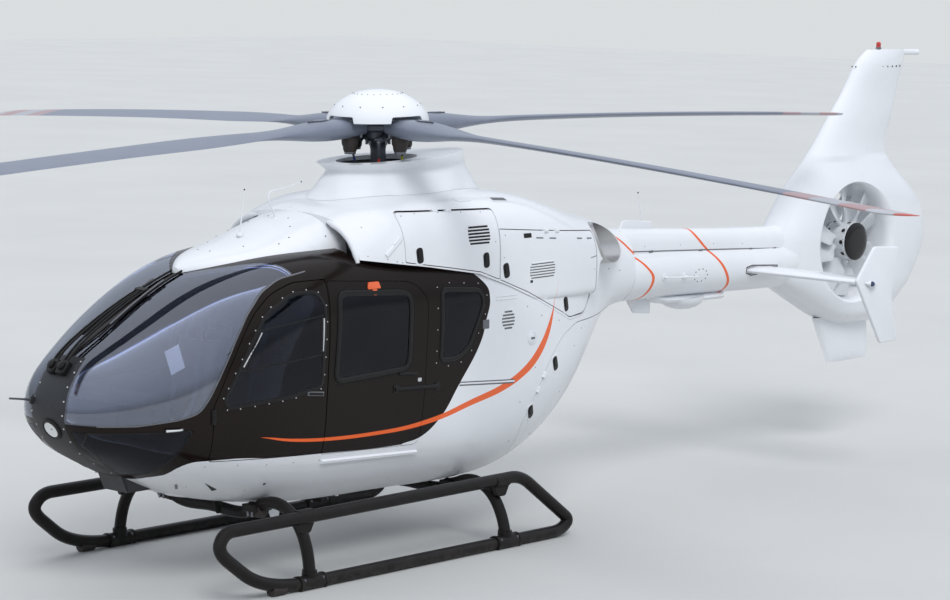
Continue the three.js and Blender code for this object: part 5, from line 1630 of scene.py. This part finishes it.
grip = [[3262, 1206], [3868, 1166]]
side_trim = gathered(
    rim(pod, sliding_window_side, -4, 40, 11),
    rim(pod, sliding_window_side, 26, 5, 2),
    plate_on(pod, 2405, 1972, [[-64, -26, 12], [64, -26, 12], [52, 24, 10], [-50, 24, 10]], 8, AMBER),
    plate_on(pod, 2405, 1926, [[-18, -22, 8], [18, -22, 8], [22, 20, 6], [-22, 20, 6]], 9, AMBER),
    bead(pod, [[2595, 1233], [3040, 1213]], 30, 14), bead(pod, [[2633, 1338], [2827, 1320]], 22, 8),
    plate_on(pod, 2608, 1233, oblong(58, 60, 22), 6, BLACK), plate_on(pod, 3028, 1214, oblong(58, 60, 22), 6, BLACK),
    plate_on(pod, 2844, 1277, oblong(34, 26, 6), 6, PALE), bead(pod, grip, 30, 3, GREY), bead(pod, grip, 13, 7, PLAIN),
    rim(pod, rear_window_side, -3, 34, 9),
    rim(pod, rear_window_side, 24, 5, 2),
    studs(pod, along(grown(rear_window_side, 44), 150), SMALL),
    bead(pod, [[240, 1172]] + windshield_side[1:11], 7, 1.6, GREY),
    bead(pod, [[216, 1120], [243, 1032, 20], [400, 909, 40], [560, 815, 40], [619, 786, 20], [662, 812, 20],
               [703, 905, 60], [745, 1006, 60], [790, 1112, 20]], 6, 1.6),
    bead(pod, [[216, 1124], [790, 1122]], 7, 1.4),
    studs(pod, [(2016, 905), (2240, 895), (2460, 885), (2700, 880), (2020, 2000), (2420, 2010), (2700, 1985),
                (2960, 1700), (2950, 1450), (2948, 1330), (3300, 1320), (3420, 1440)], SMALL, BLACK),
    studs(pod, [(950, 860), (1190, 850), (1430, 830), (1660, 820), (1900, 808), (960, 700), (1380, 640)], SMALL, GREY),
    bead(pod, [[1915, 796], [2872, 752]], 30, 16, PLAIN),
    plate_on(pod, 1105, 690, [[-84, 0, 2], [66, -19, 5], [66, 19, 5]], 1.2, BLACK, -29),
    bead(pod, [[3655, 1777, 4], [3660, 1802, 4], [3896, 1800, 4], [3892, 1776, 4]], 10, 4, PLAIN, closed=True),
    plate_on(pod, 3538, 1612, oblong(70, 66, 8), 2, GREY))
# A round grille of six white bars with grey painted shade between them, a filler cap with its slot, and more screws
GRILLE_X, GRILLE_RADIUS = 3790, 74
for k in range(6):
    reach, low = sqrt(GRILLE_RADIUS ** 2 - (-60 + 24 * k) ** 2), 1562 + 24 * k
    side_trim.join(bead(pod, [[GRILLE_X - reach, low], [GRILLE_X + reach, low]], 11, 1.6, GREY))
    side_trim.join(bead(pod, [[GRILLE_X - reach, low + 12], [GRILLE_X + reach * 0.9, low + 12]], 10, 5, PLAIN))
cap_seat = seated(*pod.side_point(4080, 1463))
side_trim.join(turned([(52, -6), (52, 3), (49, 5), (44, 5.4), (43, 2), (40, 2), (39, 5), (34, 7), (4, 8)], cap_seat, 40,
                      PLAIN))
side_trim.join(Form().join(pad(oblong(46, 15, 7), 12, 2), cap_seat, GREY))
side_trim.join(studs(pod, [(4020, 1700), (4200, 1620), (4130, 1240), (3960, 1000), (3940, 700), (4440, 1560)], 5, GREY))
fitted_pair("cabin_trim", tool(side_trim), trims)

# ---- Louvres and latches ----
# Pressed louvres cool the gearbox and engine bays. Black paddle latches in white recesses hold the doors shut, and
# plates and screws are spread over the cowl.
def louvre(skin, x0, x1, z0, count, pitch, shade, wide):
    form = Form()
    middle, half = (x0 + x1) / 2, (x1 - x0) / 2
    for k in range(count):
        edge = abs(k - (count - 1) / 2) / (count / 2)
        reach = half * (1 - 0.22 * edge ** 4)
        # Each pair is a low dark strip, painted shade in the slot, then the raised white slat above it.
        for z, across, high, finish in ((z0 + pitch * k, wide, 1.4, shade),
                                        (z0 + pitch * k + pitch / 2, pitch - wide, 5.5, PLAIN)):
            form.join(bead(skin, [[middle - reach, z], [middle + reach, z]], across, high, finish))
    return form


def latch(skin, x, z, slant):
    return gathered(plate_on(skin, x, z, oblong(86, 134, 14), 1.5, PLAIN, slant),
                    plate_on(skin, x, z, oblong(66, 112, 30), 3.5, BLACK, slant),
                    plate_on(skin, x, z + 8, oblong(38, 64, 16), 8, BLACK, slant))


gear_trim = gathered(
    louvre(cowl, 3365, 3592, 2200, 6, 23, BLACK, 13), latch(cowl, 2854, 2150, 6), latch(cowl, 3545, 2074, 6),
    studs(cowl, [(2770, 2425), (2900, 2436), (3130, 2432), (3360, 2424), (3560, 2416), (3650, 2200)], SMALL, GREY))
fitted_pair("gearbox_door_trim", tool(gear_trim), trims, "gearbox_cowl_door")
engine_trim = gathered(
    louvre(cowl, 4040, 4348, 1906, 6, 20, GREY, 8), latch(cowl, 3766, 1984, 12), latch(pod, 4540, 1672, 12),
    plate_on(cowl, 4018, 2222, oblong(92, 34, 5), 2, BLACK), plate_on(cowl, 4060, 1882, oblong(30, 20, 3), 2, BLACK),
    *[bead(cowl, [[x, 2232 - (x - 3704) * 0.079], [x + 84, 2232 - (x + 84 - 3704) * 0.079]], 9, 3, GREY)
      for x in (4120, 4290, 4700, 4880)],
    bead(cowl, [[4906, 1990], [5000, 1998]], 6, 1.6, GREY),
    studs(cowl, [(3760, 2240), (4900, 2130), (4960, 1900), (3740, 2080)], SMALL, GREY))
fitted_pair("engine_door_trim", tool(engine_trim), trims, "engine_cowl_door")
clam_trim = gathered(
    latch(pod, 4400, 1240, 20), latch(pod, 4128, 905, 28),
    studs(pod, [(4120, 560), (4300, 700), (4560, 1000), (4700, 1340), (4820, 1460), (4900, 1250)], SMALL, GREY))
fitted_pair("clamshell_trim", tool(clam_trim), trims, "clamshell_door")

cowl_trim = gathered(
    bead(cowl, [[2548, 2164, 6], [2700, 2284, 6]], 34, 10, PLAIN),
    bead(cowl, [[2620, 2236], [2690, 2290]], 16, 14, PLAIN),
    studs(cowl, [(2400, 2170), (2560, 2140), (2690, 2110), (2440, 2360), (2640, 2120), (5060, 2120), (5090, 1990),
                 (5200, 1880), (5400, 1850)], SMALL, GREY))
for x, y, plate, high, shade in [
        (3868, -575, (200, 72, 10), 3, PLAIN), (3868, -575, (160, 40, 6), 5, GREY),
        (3490, -560, (150, 62, 10), 3, PLAIN), (3490, -560, (104, 36, 6), 4.5, PLAIN)]:
    cowl_trim.join(pad(oblong(*plate), high, base=-6), seated(*cowl.roof_point(x, y)), shade)
for x, y in [(1905, -316), (2009, -306), (2110, -211), (2271, -400), (1700, -180), (1500, -60), (2200, -100)]:
    cowl_trim.join(ball(seated(*roof.roof_point(x, y)), 6, 3, 8, 2, BLACK))
fitted_pair("cowl_trim", tool(cowl_trim), trims)

# ---- Nose ----
# A black moulded panel, screwed on, covers the joint of the two windshields and carries the landing light, the pitot
# tube, a probe and the wipers. A blank card stands behind the left windshield.
def nose_point(y, z, lift=0.0):
    """A point on the front of the pod and the outward normal there."""
    def front(y, z):
        low, high = pod.front, 1500.0
        for _ in range(32):
            middle = (low + high) / 2
            row = pod.row(middle)
            inside = row[0] < z < row[1] and pod.width(middle, z) > abs(y)
            low, high = (low, middle) if inside else (middle, high)
        return Vector((high, y, z))
    normal = (front(y, z + 4) - front(y, z - 4)).cross(front(y + 4, z) - front(y - 4, z)).normalized()
    return front(y, z) + normal * lift, normal


LINER, LAMP = len(trims), len(trims) + 1
panel_edge = natural([770, 873, 991, 1118, 1255, 1359, 1497, 1600], [133, 134, 158, 151, 169, 156, 152, 135])
nose_rings = []
for i in range(45):
    z = 775 + (1588 - 775) * i / 44
    half = panel_edge(z)
    spread = [-half + 2 * half * j / 16 for j in range(17)]
    nose_rings.append([nose_point(y, z, 4 - 3.5 * abs(y / half) ** 12)[0] for y in spread]
                      + [nose_point(y, z, -8)[0] for y in spread[::-1]])
nose = loft(nose_rings, LINER)
for side in (-1, 1):
    for z in (800, 880, 965, 1050, 1140, 1230, 1320, 1410, 1500, 1565):
        nose.join(ball(seated(*nose_point(side * (panel_edge(z) - 16), z, 3.5), (0, 1, 0)), 6, 3, 8, 2, PALE))
light_seat = seated(*nose_point(-24, 1128), (0, 1, 0))
nose.join(gathered(
    turned([(84, -40), (84, 8), (78, 17), (66, 19), (58, 15), (54, 5)], light_seat, 40, BLACK),
    turned([(60, -20), (57, 14), (44, 10), (26, 7), (4, 6)], light_seat, 40, LAMP),
    ball(light_seat, 9, 9, 20, 5, GREY, 6)))
pitot_root, pitot_way = nose_point(166, 1298)
pitot = [pitot_root.lerp(Vector((-45, 166, 1326)), t) for t in (-0.06, 0.3, 0.65, 1.0)]
nose.join(piping(flowing(pitot, 24), lambda t: 15 - 8 * min(1.0, t * 2.2), 16), finish=ALLOY)
nose.join(turned([(34, -14), (34, 4), (28, 12), (16, 20)], seated(pitot_root, pitot_way), 28), finish=BLACK)
probe = [pod.side_point(x, 1143, lift)[0] for x, lift in [(718, -4), (712, 22), (690, 30), (610, 32)]]
nose.join(piping(flowing(probe, 16), lambda t: 6 + 3 * t, 12), finish=LAMP)
lamp_white = mottled("lamp_white", (0.72, 0.73, 0.74), (0.85, 0.86, 0.87), (0.08, 0.16), Metallic=0.7)
fitted("nose_panel", tool(nose), trims + [dark_liner_and_shade, lamp_white])

# Each wiper: two arms side by side from a motor box on the panel, and a blade carried in a bow near their ends
wipers = Form()
for side in (-1, 1):
    foot, normal = nose_point(side * 46, 1512, 14)
    seat = seated(foot, normal, (0, 1, 0))
    wipers.join(Form().join(pad(oblong(84, 104, 24), 30, 8, -30), seat, BLACK))
    wipers.join(turned([(30, 20), (30, 44), (22, 50), (8, 52)], seat, 28), finish=BLACK)
    for offset in (0, 30):
        path = [nose_point(side * (34 + offset - 26 * t), 1530 + 430 * t, 36 + 16 * sin(pi * t))[0]
                for t in [i / 16 for i in range(17)]]
        wipers.join(piping(path, lambda t: 9 - 3 * t, 10, finish=BLACK))
    carrier = seated(*nose_point(side * 26, 1950, 34), (0, 1, 0))
    wipers.join(Form().join(pad(oblong(58, 34, 8), 12, 3, -12), carrier, BLACK))
    blade = [nose_point(side * (78 - 34 * t), 1700 + 380 * t, 11)[0] for t in [i / 18 for i in range(19)]]
    wipers.join(piping(blade, 8, 10, finish=BLACK))
    wipers.join(piping([p + Vector((-7, side * 3, 13)) for p in blade[3:-3]], 6, 10, finish=GREY))
fitted("wipers", tool(wipers), trims)

card = [Vector(p) for p in [(700, -500, 1637), (797, -529, 1682), (783, -609, 1536), (689, -582, 1492)]]
thin = (card[1] - card[0]).cross(card[3] - card[0]).normalized() * 1.5
paper = mottled("white_card", (0.66, 0.66, 0.65), (0.74, 0.74, 0.73), (0.6, 0.8))
fitted("blank_card", tool(loft([[p - thin for p in card], [p + thin for p in card]])), paper)

# ---- Aerials and boom fittings ----
# White moulded blade aerials and thin sprung whips, screwed to the roof and boom on round feet, with a grab rail,
# a fairing under the boom, drain masts and the lamps at the tail.
def fin_blade(outline, y, half):
    """A thin blade seen from the side, with a rounded rim."""
    return loft([[Vector((p.x, y + w, p.y)) for p in rounded(grown(outline, -inset), 5)]
                 for w, inset in [(-half, half * 0.6), (-half * 0.5, 0), (half * 0.5, 0), (half, half * 0.6)]])


blades = gathered(
    fin_blade([[5960, 2062, 4], [6018, 2158, 20], [6070, 2166, 10], [6392, 2138, 10], [6380, 2050, 4]], 0, 9),
    fin_blade([[6083, 1530, 4], [6190, 1405, 10], [6400, 1386, 10], [6408, 1530, 4]], 0, 9),
    turned([(196, -70), (190, -40), (170, -14), (130, 12), (80, 30), (30, 38), (4, 39)],
           seated((6812, 0, 1430), (0.03, 0, -1))),
    loft([[Vector((x, 128 * cos(a) * wide, low + 74 * (0.5 + 0.5 * sin(a)))) for a in turns(28)]
          for x, wide, low in [(6330, 0.25, 1500), (6400, 0.75, 1478), (6480, 0.98, 1462), (6900, 1.0, 1446),
                               (7240, 0.95, 1444), (7290, 0.6, 1462)]]))
aerials = gathered(blades, finish=PLAIN)
for path, radius in [
    ([(1836, 0, 2280), (1850, 0, 2440), (1874, 0, 2607)], 5), ([(6300, 0, 2050), (6262, 0, 2190), (6214, 0, 2378)], 5),
    ([(2175, 0, 2370), (2150, 0, 2450), (2102, 0, 2540), (2118, 0, 2578), (2176, 0, 2593), (2420, 0, 2638)], 6),
]:
    curve = flowing(path, 26)
    foot = seated(curve[0] + Vector((0, 0, 14)), (0, 0, 1))
    aerials.join(gathered(piping(curve, lambda t, r=radius: r * (1.25 - 0.6 * t), 10, finish=PLAIN),
                          turned([(26, -8), (25, 6), (16, 14), (8, 22)], foot, 20, PLAIN),
                          ball(seated(curve[-1], curve[-1] - curve[-2]), 6, 8, 10, 3, BLACK)))
aerials.join(fin_blade([[1800, 455, 4], [1930, 448, 4], [1916, 350, 14], [1850, 345, 14]], -330, 8), finish=PLAIN)
aerials.join(fin_blade([[1420, 510, 4], [1500, 500, 4], [1494, 420, 10], [1456, 418, 10]], -200, 7), finish=BLACK)
lamp_foot = seated((1130, -150, pod.row(1130)[0] + 12), (-0.25, -0.1, -1))
aerials.join(gathered(turned([(80, -10), (80, 6), (74, 10), (66, 11), (62, 7), (8, 6)], lamp_foot, 36),
                      rod((2700, -120, 420), (2700, -120, 372), 12, 16),
                      rod((3050, 160, 420), (3050, 160, 366), 10, 16)), finish=PLAIN)
fitted("aerials", tool(aerials), trims)

boom_trim = gathered(
    bead(cover, [[5916, 1932], [6300, 1914], [7300, 1868], [7990, 1832]], 9, 2, GREY),
    *[plate_on(cover, x, 1930 - (x - 5916) * 0.0475, oblong(52, 16, 5), 5, GREY, 3)
      for x in (5960, 6210, 6870, 7560, 7900)],
    rim(boom, stabilizer_slot, 12, 9, 1.5, BLACK),
    studs(cover, [(6130, 1962), (6600, 1946), (7050, 1928), (7450, 1905)], SMALL, GREY))
for x, z in ((6290, 1712), (6560, 1700)):
    boom_trim.join(turned([(30, -6), (30, 3), (26, 6), (12, 7), (10, 34), (8, 40)], seated(*boom.side_point(x, z)), 24,
                          PLAIN))
rail_points = [boom.side_point(x, 1712 - (x - 6290) * 0.045, 36)[0] for x in (6270, 6420, 6560, 6700)]
boom_trim.join(piping(flowing(rail_points, 12), 7, 12), finish=PLAIN)
for a in turns(10):
    x, z = 6790 + 88 * cos(a), 1690 + 52 * sin(a)
    boom_trim.join(ball(seated(*boom.side_point(x, z)), 6, 3, 8, 2, BLACK))
fitted_pair("boom_trim", tool(boom_trim), trims)

LENS = len(trims)
tail_trim = Form()
for x in range(9190, 9831, 80):
    half = fin_columns[2](3340) * (1 - (abs(x - 9550) / 360) ** 2) ** 0.5 if abs(x - 9550) < 350 else 20
    tail_trim.join(ball(seated((x, -half - 1, 3345), (0, -1, 0.05)), 7, 3.5, 8, 2, BLACK))
lamp_path = flowing([(7535, -1318, 1672), (7600, -1332, 1664), (7670, -1320, 1656)], 16)
tail_trim.join(piping(lamp_path, lambda t: 28 * sin(pi * (0.06 + 0.62 * t)), 20, finish=PLAIN))
tail_trim.join(ball(seated((7598, -1348, 1664), (-0.25, -1, 0)), 23, 22, 20, 4, LENS, -2))
lens_blue = mottled("lens_blue", (0.010, 0.022, 0.075), (0.016, 0.034, 0.11), (0.06, 0.14), Coat_Weight=0.8)
fitted_pair("tail_trim", tool(tail_trim), trims + [lens_blue])

# ---- Hinges ----
# Two-part alloy knuckles riveted on the doors' hinge lines: one half turns with the door and the other stays on the
# body.
for kind, ends, shade in [
    ("front_door", [(940, -717, 1182), (940, -717, 1232)], BLACK),
    ("clamshell_door", [(4184, -729, 1066), (4250, -729, 1170)], PLAIN),
    ("gearbox_cowl_door", [(3110, -640, 2438.8), (3240, -649.8, 2435.7)], PLAIN),
    ("engine_cowl_door", [(4250, -708, 2241.9), (4400, -682.6, 2230)], PLAIN),
]:
    ends = [Vector(end) for end in ends]
    way = (ends[1] - ends[0]).normalized()
    for half, start, end, body in (("knuckle", -25, 0, kind), ("hinge", 1.5, 23.5, "airframe")):
        rods = gathered(*[rod(at + way * start, at + way * end, 18, 24) for at in ends], finish=shade)
        fitted_pair(f"{kind}_{half}", tool(rods), trims, body)

drop(*[used for used in bpy.data.objects if used.name.startswith("work")])
